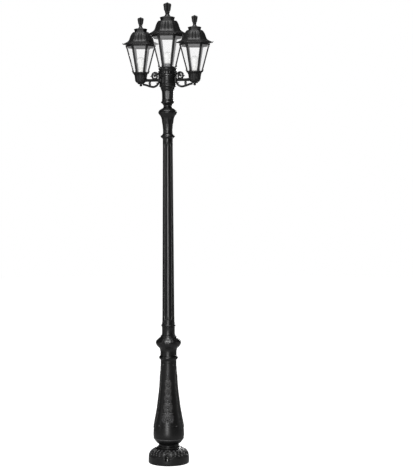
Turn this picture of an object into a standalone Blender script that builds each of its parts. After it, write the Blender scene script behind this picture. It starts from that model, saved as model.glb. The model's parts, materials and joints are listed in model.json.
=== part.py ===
"""Three-lantern street lamp post, 3.2 m tall, with a swinging access door in its base.

Metres, +Z up. The origin is the centre of the underside, the access door faces -Y.
"""
import bmesh
import bpy
from math import acos, atan, cos, pi, radians, sin, sqrt, tau
from mathutils import Euler, Matrix, Vector

# ---- driving dimensions -------------------------------------------------------------

GAP = 0.0003            # clearance left between pieces that bear on each other
ROUND = 24              # facets of the round castings
COLUMN_FACETS = 32
DOOR_FACETS = 64

# base
BASE_R = 0.143
BASE_TOP = 0.107
BOLT_CIRCLE = 0.112
BOLT_COUNT = 3
POCKET_FLOOR = 0.034
POCKET_HALF = 0.017

# column and its access opening
COLUMN_FOOT = BASE_TOP + GAP
COLUMN_TOP = 0.786
COLUMN_WALL = 0.008
FACET_LOW_Z = 0.262
FACET_LOW_Y = 0.077
FACET_HIGH_Z = 0.645
FACET_HIGH_Y = 0.042
FACET_TILT = atan((FACET_LOW_Y - FACET_HIGH_Y) / (FACET_HIGH_Z - FACET_LOW_Z))
PIVOT_Z = 0.628
DOOR_REACH = 0.366      # pivot to the door's lower edge
DOOR_CROWN = 0.072      # pivot to the door's upper edge
DOOR_CORNER = 0.018
DOOR_PROUD = 0.0015     # door skin stands proud of the column
DOOR_SKIN = 0.0045
HATCH_HALF = 0.0285
HATCH_TOP = 0.030       # pivot down to the top of the hand hole
HATCH_BOTTOM = 0.338    # pivot down to the bottom of the hand hole
SCREW_DROP = 0.350      # pivot down to the captive screw
SCREW_R = 0.003

# shaft
SHAFT_LOW = 0.986
SHAFT_HIGH = 2.262
SHAFT_R_LOW = 0.0425
SHAFT_R_HIGH = 0.0345
FLUTES = 12
FLUTE_DEPTH = 0.0032

# arms
HUB_LOW = 2.6145
HUB_TOP = 2.746
HUB_R = 0.057
ARM_REACH = 0.2028
ARM_TURN = {"right": radians(-19.6), "left": radians(160.4)}
BAR_Z = 2.6645
BAR_R = 0.0098
SCROLL_R = 0.0070
BRACKET_R = 0.0073
SCROLL_U = 0.0946        # centre of the scroll, out along the arm
SCROLL_Z = 2.694
SEAT_LOW = 2.6405       # underside of the seat disc at an arm's end

# lanterns: side lantern sizes; the centre one is scaled
CUP_FLOOR = 2.646
PANE_LOW = 2.718
LOW_R = 0.054
HIGH_R = 0.103
CAGE_HEIGHT = 0.187
BRIM_R = 0.124
CENTRE_WIDER = 1.085
CENTRE_TALLER = 1.165
CENTRE_PANE_LOW = 2.750
BELL_RISE = 0.0870      # brim to the bell's flat top
CENTRE_BELL_RISE = 0.0818
BELL_TOP_R = 0.0480
CENTRE_BELL_TOP_R = 0.0530
CENTRE_FINIAL_TALL = 1.242
STRUT_WIDE = 0.0135
STRUT_THICK = 0.005
PANE_THICK = 0.003
PIN_R = 0.002
PIN_CLEARANCE = 0.0004
HINGE_TURN = radians(90)      # the centre roof's hinge is at the back

# inside the post
TUBE_R = 0.030
TUBE_WALL = 0.003
FOOT_SPLIT = 0.376      # where the foot tube meets the slotted tube
TUBE_SPLIT = 0.640      # where the slotted tube meets the upper tube
SLOT_HALF = 0.009


# ---- scene and materials ------------------------------------------------------------

def clear_scene():
    for thing in list(bpy.data.objects):
        bpy.data.objects.remove(thing, do_unlink=True)


def new_collection(name):
    collection = bpy.data.collections.new(name)
    bpy.context.scene.collection.children.link(collection)
    return collection


def material(name, color, roughness, metallic=0.0, alpha=1.0):
    made = bpy.data.materials.new(name)
    made.use_nodes = True
    shader = made.node_tree.nodes["Principled BSDF"]
    shader.inputs["Base Color"].default_value = (*color, 1.0)
    shader.inputs["Roughness"].default_value = roughness
    shader.inputs["Metallic"].default_value = metallic
    shader.inputs["Alpha"].default_value = alpha
    return made


clear_scene()
PARTS = new_collection("street_lamp")
CUTTERS = new_collection("cutters")
BLACK = (0.013, 0.013, 0.014)
CAST_BLACK = material("cast_black", BLACK, 0.42)
DOOR_BLACK = material("door_black", BLACK, 0.40)
TUBE_BLACK = material("tube_black", BLACK, 0.38)
LANTERN_BLACK = material("lantern_black", BLACK, 0.45)
GALVANISED = material("galvanised", (0.36, 0.40, 0.38), 0.50, 0.8)
ZINC = material("zinc", (0.62, 0.62, 0.60), 0.32, 1.0)
BRASS = material("brass", (0.60, 0.42, 0.16), 0.35, 1.0)
CREAM = material("cream_plastic", (0.80, 0.78, 0.66), 0.50)
CLEAR = material("hazy_clear", (0.88, 0.89, 0.90), 0.12, 0.0, 0.35)
WHITE_METAL = material("white_enamel", (0.82, 0.82, 0.80), 0.35)
PORCELAIN = material("porcelain", (0.85, 0.84, 0.80), 0.30)
LAMP_GLASS = material("lamp_opal", (0.93, 0.93, 0.90), 0.25)


# ---- mesh helpers -------------------------------------------------------------------

def arc(centre_r, centre_z, radius, start, end, count):
    """Points of an arc in the (radius, height) plane, angles in degrees."""
    points = []
    for step in range(count + 1):
        angle = radians(start + (end - start) * step / count)
        points.append((centre_r + radius * cos(angle), centre_z + radius * sin(angle)))
    return points


def bridge(work, lower, upper):
    """Join two rings with faces; a ring of one vertex is a pole."""
    count = max(len(lower), len(upper))
    for step in range(count):
        after = (step + 1) % count
        if len(lower) == 1:
            corners = [lower[0], upper[step], upper[after]]
        elif len(upper) == 1:
            corners = [lower[step], lower[after], upper[0]]
        else:
            corners = [lower[step], lower[after], upper[after], upper[step]]
        work.faces.new(corners)


def finish_mesh(name, work):
    bmesh.ops.recalc_face_normals(work, faces=work.faces)
    mesh = bpy.data.meshes.new(name)
    work.to_mesh(mesh)
    work.free()
    return mesh


def lathe_mesh(name, outline, steps, phase=0.0, reach=None, hollow=False):
    """Turn a (radius, height) outline about +Z; reach may vary the radius with the angle."""
    work = bmesh.new()
    rings = []
    for radius, height in outline:
        if radius < 1e-6:
            rings.append([work.verts.new((0, 0, height))])
            continue
        ring = []
        for step in range(steps):
            angle = phase + step * tau / steps
            out = reach(radius, height, angle) if reach else radius
            ring.append(work.verts.new((out * cos(angle), out * sin(angle), height)))
        rings.append(ring)
    pairs = list(zip(rings, rings[1:]))
    if hollow:
        pairs.append((rings[-1], rings[0]))
    for lower, upper in pairs:
        bridge(work, lower, upper)
    return finish_mesh(name, work)


def block_mesh(name, corners_low, corners_high):
    """A closed prism between two matching loops of points."""
    work = bmesh.new()
    low = [work.verts.new(point) for point in corners_low]
    high = [work.verts.new(point) for point in corners_high]
    bridge(work, low, high)
    work.faces.new(low)
    work.faces.new(high)
    return finish_mesh(name, work)


def box_mesh(name, low, high):
    loop = [(low[0], low[1]), (high[0], low[1]), (high[0], high[1]), (low[0], high[1])]
    return block_mesh(name, [(x, y, low[2]) for x, y in loop], [(x, y, high[2]) for x, y in loop])


def tube_mesh(name, path, radius, sides=8):
    """A closed round bar along a path of points in the XZ plane."""
    work = bmesh.new()
    rings = []
    for index, point in enumerate(path):
        before = Vector(path[max(index - 1, 0)])
        after = Vector(path[min(index + 1, len(path) - 1)])
        along = (after - before).normalized()
        across = Vector((0, 1, 0)).cross(along).normalized()
        ring = []
        for side in range(sides):
            angle = (side + 0.5) * tau / sides
            offset = across * cos(angle) * radius + Vector((0, 1, 0)) * sin(angle) * radius
            ring.append(work.verts.new(Vector(point) + offset))
        rings.append(ring)
    for lower, upper in zip(rings, rings[1:]):
        bridge(work, lower, upper)
    work.faces.new(rings[0])
    work.faces.new(rings[-1])
    return finish_mesh(name, work)


def link(mesh, finish, location=(0, 0, 0), rotation=(0, 0, 0), parent=None, flat=False):
    """Put a mesh in the part's collection as a named sub-part."""
    made = bpy.data.objects.new(mesh.name, mesh)
    made.location = location
    made.rotation_euler = rotation
    made.parent = parent
    mesh.materials.clear()
    mesh.materials.append(finish)
    if not flat:
        mesh.shade_smooth()
        mesh.set_sharp_from_angle(angle=radians(35))
    PARTS.objects.link(made)
    return made


def helper(mesh, location=(0, 0, 0), rotation=(0, 0, 0)):
    made = bpy.data.objects.new(mesh.name, mesh)
    made.location = location
    made.rotation_euler = rotation
    made.hide_render = True
    made.display_type = "WIRE"
    CUTTERS.objects.link(made)
    return made


def empty(name, location, rotation=(0, 0, 0), parent=None):
    made = bpy.data.objects.new(name, None)
    made.location = location
    made.rotation_euler = rotation
    made.parent = parent
    PARTS.objects.link(made)
    return made


def boolean(target, tool, operation="DIFFERENCE"):
    made = target.modifiers.new(tool.name, "BOOLEAN")
    made.operation = operation
    made.solver = "EXACT"
    made.object = tool
    return made


def join(target, *tools):
    for tool in tools:
        boolean(target, tool, "UNION")


def cut(target, *tools):
    for tool in tools:
        boolean(target, tool)


def rod_mesh(name, radius, low, high, steps=16):
    return lathe_mesh(name, [(0, low), (radius, low), (radius, high), (0, high)], steps)


def merged(name, meshes):
    """Several separate closed meshes as one helper mesh."""
    work = bmesh.new()
    for mesh in meshes:
        work.from_mesh(mesh)
    return finish_mesh(name, work)


def moved(mesh, matrix):
    mesh.transform(matrix)
    return mesh


# ---- base flange and its bolts ------------------------------------------------------

def base_flange():
    outline = [(0.052, 0.0), (BASE_R - 0.002, 0.0), (BASE_R, 0.002), (BASE_R, 0.030)]
    outline += [(0.1422, 0.044), (0.1384, 0.054), (0.1395, 0.059), (0.1330, 0.064), (0.1308, 0.070)]
    outline += [(0.1275, 0.0756), (0.1225, 0.0808), (0.1150, 0.0866), (0.1060, 0.0922)]
    outline += [(0.0965, 0.0972), (0.0885, 0.103), (0.0810, 0.104), (0.076, BASE_TOP)]
    outline += [(0.061, BASE_TOP), (0.061, 0.030), (0.052, 0.018)]
    casting = lathe_mesh("base_flange", outline, COLUMN_FACETS, phase=pi / COLUMN_FACETS, hollow=True)
    flange = link(casting, CAST_BLACK)
    for index in range(BOLT_COUNT):
        turn = tau * index / BOLT_COUNT
        cut(flange, helper(pocket_mesh(f"bolt_pocket_{index}"), rotation=(0, 0, turn)))
        bore = rod_mesh(f"bolt_bore_{index}", 0.0075, -0.01, POCKET_FLOOR + 0.01)
        place = Matrix.Rotation(turn, 4, "Z") @ Matrix.Translation((0, -BOLT_CIRCLE, 0))
        cut(flange, helper(moved(bore, place)))


def pocket_mesh(name):
    """An arched niche, open to the outside, over one anchor bolt."""
    arch_z = POCKET_FLOOR + 0.030
    loop = [(-POCKET_HALF, POCKET_FLOOR)]
    loop += arc(0, arch_z, POCKET_HALF, 180, 0, 9)
    loop += [(POCKET_HALF, POCKET_FLOOR)]
    inner = -BOLT_CIRCLE + POCKET_HALF
    return block_mesh(name, [(x, inner, z) for x, z in loop], [(x, -0.16, z) for x, z in loop])


def anchor_bolt(index):
    """Stud, nut and washer of one ground anchor."""
    turn = tau * index / BOLT_COUNT
    name = f"anchor_bolt_{index + 1}"
    seat = POCKET_FLOOR + GAP
    stud = [(0, 0.0), (0.006, 0.0), (0.006, seat), (0.012, seat), (0.012, seat + 0.003)]
    stud += [(0.006, seat + 0.003), (0.006, seat + 0.022), (0.005, seat + 0.023), (0, seat + 0.023)]
    spot = Matrix.Rotation(turn, 4, "Z") @ Vector((0, -BOLT_CIRCLE, 0))
    bolt = link(lathe_mesh(name, stud, 16), ZINC, location=spot)
    nut_low = seat + 0.002
    nut = [(0, nut_low), (0.010, nut_low), (0.0105, nut_low + 0.001)]
    nut += [(0.0105, nut_low + 0.010), (0.0095, nut_low + 0.011), (0, nut_low + 0.011)]
    join(bolt, helper(lathe_mesh(name + "_nut", nut, 6), location=spot))


# ---- column and access door ---------------------------------------------------------

def column_outline(proud=0.0):
    """Outer profile of the column from its foot ring to the neck above the upper ring."""
    waist = [(0.0765, COLUMN_FOOT), (0.0765, 0.115), (0.0695, 0.124), (0.072, 0.133)]
    bulb = [(0.090, 0.149), (0.1018, 0.167), (0.1072, 0.190), (0.1068, 0.218), (0.100, 0.268)]
    bulb += [(0.090, 0.324), (0.0798, 0.380), (0.0725, 0.436), (0.0655, 0.491), (0.060, 0.547)]
    bulb += [(0.057, 0.610)]
    ring = [(0.0555, 0.7200)] + arc(0.0520, 0.7390, 0.0140, -62, 62, 4) + [(0.0575, 0.7528)]
    neck = [(0.0567, 0.7600), (0.0567, COLUMN_TOP)]
    return [(radius + proud, height) for radius, height in waist + bulb + ring + neck]


def facet_frame():
    """Rotation that lays +Z along the door's hinge axis and +Y up the facet."""
    return Euler((radians(90) - FACET_TILT, 0, 0))


def facet_matrix():
    turn = facet_frame().to_matrix().to_4x4()
    down = FACET_HIGH_Z - PIVOT_Z
    forward = FACET_HIGH_Y + down * (FACET_LOW_Y - FACET_HIGH_Y) / (FACET_HIGH_Z - FACET_LOW_Z)
    return Matrix.Translation((0, -forward, PIVOT_Z)) @ turn


def panel_outline(half_wide, crown, reach, corner):
    """Outline about the pivot: an arc below, straight sides, an arc above."""
    loop = []
    side_low = acos(min(1.0, half_wide / reach))
    low_y = -sqrt(reach ** 2 - (half_wide - corner) ** 2)
    for step in range(5):
        angle = pi + pi / 2 * step / 4
        loop.append((-half_wide + corner + corner * cos(angle), low_y + corner + corner * sin(angle)))
    for step in range(1, 8):
        angle = -pi + side_low + (pi - 2 * side_low) * step / 8
        x = reach * cos(angle)
        if abs(x) < half_wide - corner:
            loop.append((x, reach * sin(angle)))
    for step in range(5):
        angle = -pi / 2 + pi / 2 * step / 4
        loop.append((half_wide - corner + corner * cos(angle), low_y + corner + corner * sin(angle)))
    if half_wide < crown:
        start = acos(half_wide / crown)
        for step in range(13):
            angle = start + (pi - 2 * start) * step / 12
            loop.append((crown * cos(angle), crown * sin(angle)))
    else:
        for step in range(17):
            angle = pi * step / 16
            loop.append((crown * cos(angle), crown * sin(angle)))
    return loop


def blind_outline():
    """Like the door's, but narrowing upwards so that neighbours stay apart."""
    loop = arc(-0.032, -0.386, 0.020, 180, 262, 4)
    loop += arc(0.032, -0.386, 0.020, 278, 360, 4)
    return loop + arc(0, 0.020, 0.026, 0, 180, 8)


def slab_mesh(name, loop, low, high):
    return block_mesh(name, [(x, y, low) for x, y in loop], [(x, y, high) for x, y in loop])


def slot_outline(half, low, high, corner, count=4):
    loop = []
    for centre_x, centre_y, start in ((half - corner, low + corner, -90),
                                      (half - corner, high - corner, 0),
                                      (-half + corner, high - corner, 90),
                                      (-half + corner, low + corner, 180)):
        for step in range(count + 1):
            angle = radians(start + 90 * step / count)
            loop.append((centre_x + corner * cos(angle), centre_y + corner * sin(angle)))
    return loop


def base_column():
    inner = [(0.062, COLUMN_FOOT), (0.062, 0.133)]
    inner += [(r - COLUMN_WALL, z) for r, z in column_outline() if 0.140 < z < 0.700][::2]
    inner += [(0.048, 0.722), (0.048, COLUMN_TOP)]
    outline = column_outline() + inner[::-1]
    column = link(lathe_mesh("base_column", outline, COLUMN_FACETS, hollow=True), CAST_BLACK)
    place = facet_matrix()
    for index, side in enumerate(("right", "back", "left")):
        raised = lathe_mesh(f"blind_panel_{side}", panel_band(0.0014), COLUMN_FACETS, hollow=True)
        keep = slab_mesh(f"blind_outline_{side}", blind_outline(), -0.03, 0.12)
        turn = Matrix.Rotation(radians(90) * (index + 1), 4, "Z")
        panel = helper(raised)
        boolean(panel, helper(moved(keep, turn @ place)), "INTERSECT")
        join(column, panel)
    recess = slab_mesh("door_recess", recess_outline(), 0.0, 0.14)
    facet_back = slab_mesh("facet_backing_outline", slot_outline(0.045, -0.372, 0.050, 0.012), -0.007, 0.003)
    backing = helper(moved(facet_back, place))
    room = lathe_mesh("facet_backing_room", [(0.0, 0.235)] + inner_band() + [(0.0, 0.700)], COLUMN_FACETS)
    boolean(backing, helper(room), "INTERSECT")
    join(column, backing)
    cut(column, helper(moved(recess, place)))
    hatch = slot_outline(HATCH_HALF, -HATCH_BOTTOM, -HATCH_TOP, 0.008)
    cut(column, helper(moved(slab_mesh("hand_hole", hatch, -0.040, 0.02), place)))
    pivot_bore = rod_mesh("pivot_bore", SCREW_R + GAP, -0.030, 0.02)
    cut(column, helper(moved(pivot_bore, place)))
    insert_bore = rod_mesh("insert_bore", 0.006 + GAP, -0.030, 0.02)
    lower = place @ Matrix.Translation((0, -SCREW_DROP, 0))
    cut(column, helper(moved(insert_bore, lower)))


def panel_band(proud):
    """A thin ring of the column's skin around the blind panels' levels, slightly proud."""
    band = [(radius, height) for radius, height in column_outline() if 0.170 < height < 0.700]
    return [(r + proud, z) for r, z in band] + [(r - 0.004, z) for r, z in band[::-1]]


def inner_band():
    return [(r - COLUMN_WALL + 0.002, z) for r, z in column_outline() if 0.235 < z < 0.700]


def recess_outline():
    """Clears the door's sweep: a wide arc under the pivot and a small one above it."""
    reach = DOOR_REACH + 0.0015
    crown = DOOR_CROWN + 0.003
    loop = []
    for step in range(13):
        angle = radians(-90 - 24 + 48 * step / 12)
        loop.append((reach * cos(angle), reach * sin(angle)))
    loop.append((0.15, -0.02))
    for step in range(17):
        angle = pi * step / 16
        loop.append((crown * cos(angle), crown * sin(angle)))
    loop.append((-0.15, -0.02))
    return loop


def access_door(hinge):
    """Shell cover that follows the column's skin and hangs from the pivot screw."""
    outer = [(0.0, 0.250)] + door_band(DOOR_PROUD) + [(0.0, 0.712)]
    mesh = lathe_mesh("access_door", outer, DOOR_FACETS)
    back = facet_matrix().inverted()
    door = link(moved(mesh, back), DOOR_BLACK, parent=hinge)
    blank = slab_mesh("door_blank", panel_outline(0.066, DOOR_CROWN, DOOR_REACH, DOOR_CORNER), 0.0015, 0.12)
    boolean(door, hinged_helper(blank, hinge), "INTERSECT")
    inner = [(0.0, 0.230)] + hollow_band(DOOR_PROUD - DOOR_SKIN) + [(0.0, 0.735)]
    cut(door, hinged_helper(moved(lathe_mesh("door_hollow", inner, DOOR_FACETS), back), hinge))
    bores = []
    for name, drop in (("pivot_boss", 0.0), ("screw_boss", SCREW_DROP)):
        boss = rod_mesh(name, 0.0075, 0.0017, door_skin_height(drop, DOOR_PROUD) - 0.0021, 18)
        join(door, hinged_helper(moved(boss, Matrix.Translation((0, -drop, 0))), hinge))
        bore = rod_mesh(name + "_bore", SCREW_R + 0.0004, -0.0104, 0.0607, 14)
        bores.append(moved(bore, Matrix.Translation((0.00001, -drop, 0))))
    cut(door, hinged_helper(merged("door_bores", bores), hinge))
    return door


def hinged_helper(mesh, hinge):
    made = helper(mesh)
    made.parent = hinge
    return made


def door_band(proud):
    return [(r, z) for r, z in column_outline(proud) if 0.240 <= z < 0.722] + [(0.056 + proud, 0.712)]


def hollow_band(proud):
    return [(r, z) for r, z in column_outline(proud) if 0.215 < z < 0.722] + [(0.0555 + proud, 0.735)]


def door_skin_height(drop, proud):
    """How far in front of the facet the column's skin is, at a point straight under the pivot."""
    place = facet_matrix()
    low, high = 0.0, 0.08
    outline = column_outline(proud)
    for _ in range(40):
        middle = (low + high) / 2
        point = place @ Vector((0, -drop, middle))
        radius = outline[-1][0]
        for (r0, z0), (r1, z1) in zip(outline, outline[1:]):
            if z0 <= point.z <= z1:
                radius = r0 + (r1 - r0) * (point.z - z0) / (z1 - z0)
        if -point.y < radius:
            low = middle
        else:
            high = middle
    return low


def door_screws(hinge_matrix, hinge):
    """Pivot screw, fixed in the column, and the captive screw that turns in the door."""
    for name, drop, tip, finish in (("door_pivot_screw", 0.0, -0.0105, ZINC),
                                    ("door_captive_screw", SCREW_DROP, 0.0010, ZINC)):
        seat = door_skin_height(drop, DOOR_PROUD) + 0.0012
        outline = [(0, tip), (SCREW_R - 0.0006, tip), (SCREW_R, tip + 0.0006), (SCREW_R, seat)]
        outline += [(0.0062, seat), (0.0062, seat + 0.0020)]
        outline += [(0.0048, seat + 0.0038), (0.0025, seat + 0.0045), (0, seat + 0.0046)]
        spot = hinge_matrix @ Vector((0, -drop, 0))
        if name == "door_captive_screw":
            screw = link(lathe_mesh(name, outline, 16), finish, location=(0, -drop, 0), parent=hinge)
            slot_parent = hinge
            slot_place = Matrix.Translation((0, -drop, 0))
        else:
            screw = link(lathe_mesh(name, outline, 16), finish, location=spot, rotation=facet_frame())
            slot_parent = None
            slot_place = hinge_matrix
        slot = box_mesh(name + "_slot", (-0.008, -0.0007, seat + 0.0030), (0.008, 0.0007, seat + 0.006))
        tool = helper(moved(slot, slot_place))
        tool.parent = slot_parent
        cut(screw, tool)


def lock_insert(place):
    """Threaded bush that the captive screw engages."""
    outline = [(SCREW_R + 0.0003, -0.011), (0.006, -0.011), (0.006, -0.0006), (0.0055, -0.0003)]
    outline += [(SCREW_R + 0.0003, -0.0003)]
    spot = place @ Vector((0, -SCREW_DROP, 0))
    link(lathe_mesh("lock_insert", outline, 16, hollow=True), ZINC, spot, facet_frame())


# ---- inside the post ----------------------------------------------------------------

def core_tube():
    """Upper galvanised tube that carries the cladding up to the hub."""
    outline = [(TUBE_R, TUBE_SPLIT + GAP), (TUBE_R, 0.880), (0.019, 0.900), (0.019, HUB_LOW + 0.030)]
    outline += [(0.016, HUB_LOW + 0.030), (0.016, 0.898), (TUBE_R - TUBE_WALL, 0.877)]
    outline += [(TUBE_R - TUBE_WALL, TUBE_SPLIT + GAP)]
    link(lathe_mesh("core_tube", outline, 20, hollow=True), GALVANISED)


def slot_tube():
    """Middle length of the tube, slotted where the cables come out."""
    low = FOOT_SPLIT + GAP
    outline = [(TUBE_R, low), (TUBE_R, TUBE_SPLIT), (TUBE_R - TUBE_WALL, TUBE_SPLIT), (TUBE_R - TUBE_WALL, low)]
    tube = link(lathe_mesh("slot_tube", outline, 20, hollow=True), GALVANISED)
    slot = slot_outline(SLOT_HALF, 0.382, 0.600, 0.0088)
    cutter = block_mesh("tube_slot", [(x, -0.05, z) for x, z in slot], [(x, 0.0, z) for x, z in slot])
    cut(tube, helper(cutter))


def foot_tube():
    """Foot of the tube, which the supply cable comes up through."""
    outline = [(TUBE_R, 0.030), (TUBE_R, FOOT_SPLIT)]
    outline += [(TUBE_R - TUBE_WALL, FOOT_SPLIT), (TUBE_R - TUBE_WALL, 0.030)]
    tube = link(lathe_mesh("foot_tube", outline, 20, hollow=True), GALVANISED)
    bore = rod_mesh("earth_bore", 0.0042, 0.0, 0.06)
    cut(tube, helper(moved(bore, earth_place())))


def earth_place():
    return Matrix.Translation((0.009, 0, 0.349)) @ Matrix.Rotation(radians(90), 4, "X")


def earth_screw():
    front = 0.0300
    outline = [(0, 0.0186), (0.0036, 0.0186), (0.0036, front), (0.0075, front), (0.0075, front + 0.002)]
    outline += [(0.0055, front + 0.002), (0.0055, front + 0.006), (0, front + 0.0065)]
    mesh = moved(lathe_mesh("earth_screw", outline, 6), earth_place())
    link(mesh, BRASS)


def terminal_block():
    """Cable junction inside the tube, seen through its slot."""
    body = box_mesh("terminal_block", (-0.0075, -0.0235, 0.380), (0.0075, 0.010, 0.560))
    block = link(body, CREAM, flat=True)
    for index in range(4):
        z = 0.400 + 0.040 * index
        gap = box_mesh(f"terminal_gap_{index}", (-0.02, -0.03, z + 0.018), (0.02, -0.016, z + 0.021))
        cut(block, helper(gap))


def terminal_carrier():
    """Cream insulating sill across the bottom of the hand hole."""
    loop = arc(0, 0, 0.0315, 200, 340, 8) + arc(0, 0, 0.052, -28, -152, 8)
    sill = block_mesh("terminal_carrier", [(x, y, 0.292) for x, y in loop], [(x, y, 0.324) for x, y in loop])
    link(sill, CREAM, flat=True)


# ---- knop, shaft and capital --------------------------------------------------------

def lobed(count, depth, low, high, phase=0.0):
    """Radius rule with lobes that fade in between two heights."""
    def reach(radius, height, angle):
        if not low < height < high or radius < 0.034:
            return radius
        fade = sin(pi * (height - low) / (high - low))
        return radius - depth * fade * (0.5 - 0.5 * cos(count * (angle - phase)))
    return reach


def knop():
    low = COLUMN_TOP + GAP
    outer = [(0.0575, low), (0.0595, 0.798), (0.0655, 0.810), (0.078, 0.822), (0.0845, 0.8343)]
    outer += [(0.0884, 0.8438), (0.0884, 0.8473), (0.0845, 0.8553), (0.0765, 0.8643), (0.0665, 0.8733)]
    outer += [(0.056, 0.8833), (0.0475, 0.898)]
    inner = [(0.0325, 0.898), (0.0325, low)]
    shape = lobed(8, 0.007, 0.822, 0.898, radians(-90))
    link(lathe_mesh("knop", outer + inner, 32, reach=shape, hollow=True), CAST_BLACK)


def lower_collar():
    low = 0.898 + GAP
    outer = [(0.0455, low), (0.0445, 0.912), (0.0445, 0.950)] + arc(0.0445, 0.964, 0.0058, -70, 70, 4)
    outer += [(0.0435, 0.976), (0.0435, SHAFT_LOW - GAP)]
    inner = [(0.0205, SHAFT_LOW - GAP), (0.0205, 0.902), (0.0325, low)]
    link(lathe_mesh("lower_collar", outer + inner, ROUND, hollow=True), CAST_BLACK)


def fluted_shaft():
    """Tapered sleeve with flutes that die out in points near both ends."""
    def taper(height):
        share = (height - SHAFT_LOW) / (SHAFT_HIGH - SHAFT_LOW)
        return SHAFT_R_LOW + (SHAFT_R_HIGH - SHAFT_R_LOW) * share

    def reach(radius, height, angle):
        if radius < 0.030:
            return radius
        from_end = min(height - SHAFT_LOW - 0.018, SHAFT_HIGH - 0.030 - height)
        fade = min(1.0, max(0.0, from_end / 0.030)) ** 0.5
        wave = abs(sin(FLUTES * angle / 2))
        return radius - FLUTE_DEPTH * fade * wave

    ends = (0.0, 0.018, 0.026, 0.048)
    low = [SHAFT_LOW + step for step in ends]
    high = [SHAFT_HIGH - 0.012 - step for step in ends[1:]][::-1] + [SHAFT_HIGH]
    middle = [SHAFT_LOW + (SHAFT_HIGH - SHAFT_LOW) * share for share in (0.35, 0.65)]
    outer = [(taper(height), height) for height in low + middle + high]
    inner = [(0.0205, SHAFT_HIGH), (0.0205, SHAFT_LOW)]
    mesh = lathe_mesh("fluted_shaft", outer + inner, FLUTES * 4, reach=reach, hollow=True)
    link(mesh, TUBE_BLACK)


def upper_ring():
    low = SHAFT_HIGH + GAP
    outer = [(0.037, low), (0.040, 2.266)] + arc(0.0405, 2.2765, 0.0088, -70, 70, 4)
    outer += [(0.0405, 2.288), (0.0355, 2.293), (0.0335, 2.299)]
    link(lathe_mesh("upper_ring", outer + [(0.0205, 2.299), (0.0205, low)], ROUND, hollow=True), CAST_BLACK)


def capital():
    low = 2.299 + GAP
    outer = [(0.033, low), (0.033, 2.330), (0.035, 2.357), (0.0375, 2.385), (0.0405, 2.402)]
    outer += [(0.0465, 2.416), (0.057, 2.428), (0.0635, 2.438), (0.064, 2.446), (0.0595, 2.454)]
    outer += [(0.047, 2.463), (0.0345, 2.471), (0.029, 2.481), (0.029, 2.489), (0.035, 2.498)]
    outer += arc(0.0385, 2.5115, 0.0075, -80, 80, 4) + [(0.038, 2.5195)]
    shape = lobed(8, 0.005, 2.399, 2.470)
    mesh = lathe_mesh("capital", outer + [(0.0205, 2.5195), (0.0205, low)], 32, reach=shape, hollow=True)
    link(mesh, CAST_BLACK)


def hub_neck():
    low = 2.5195 + GAP
    outer = [(0.039, low), (0.0395, 2.530), (0.0402, 2.555), (0.0415, 2.580), (0.044, 2.594)]
    outer += [(0.049, 2.606), (0.050, HUB_LOW - GAP)]
    shape = lobed(8, 0.003, 2.500, 2.640)
    inner = [(0.0205, HUB_LOW - GAP), (0.0205, low)]
    link(lathe_mesh("hub_neck", outer + inner, 32, reach=shape, hollow=True), CAST_BLACK)


def arm_hub():
    """Boss that the arms bolt to; its flared top seats the centre lantern."""
    low = HUB_LOW
    outer = [(0.051, low), (0.0565, 2.620), (0.0585, 2.627), (HUB_R, 2.635), (HUB_R - 0.003, 2.639)]
    outer += [(HUB_R - 0.003, 2.690), (0.052, 2.696), (0.056, 2.700), (0.052, 2.704)]
    outer += [(0.0525, 2.722), (0.057, 2.733), (0.063, 2.741), (0.063, HUB_TOP)]
    inner = [(0.0575, HUB_TOP), (0.0575, 2.742), (0.046, 2.722), (0.046, 2.670), (0.0205, 2.655)]
    inner += [(0.0205, low)]
    link(lathe_mesh("arm_hub", outer + inner, ROUND, hollow=True), CAST_BLACK)


# ---- arms ---------------------------------------------------------------------------

def spiral_path(centre_u, centre_z, start_r, end_r, start, end, count):
    """A scroll in the arm's plane whose radius shrinks evenly."""
    path = []
    for step in range(count + 1):
        share = step / count
        angle = radians(start + (end - start) * share)
        radius = start_r + (end_r - start_r) * share
        path.append((centre_u + radius * cos(angle), 0, centre_z + radius * sin(angle)))
    return path


def smooth_path(points, count):
    """A smooth curve through a few points in the arm's plane."""
    path = []
    padded = [points[0]] + list(points) + [points[-1]]
    for p0, p1, p2, p3 in zip(padded, padded[1:], padded[2:], padded[3:]):
        for step in range(count):
            t = step / count
            spot = []
            for a, b, c, d in zip(p0, p1, p2, p3):
                curve = 2 * b + (c - a) * t + (2 * a - 5 * b + 4 * c - d) * t ** 2
                curve += (3 * b - a - 3 * c + d) * t ** 3
                spot.append(curve / 2)
            path.append((spot[0], 0, spot[1]))
    path.append((points[-1][0], 0, points[-1][1]))
    return path


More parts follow.
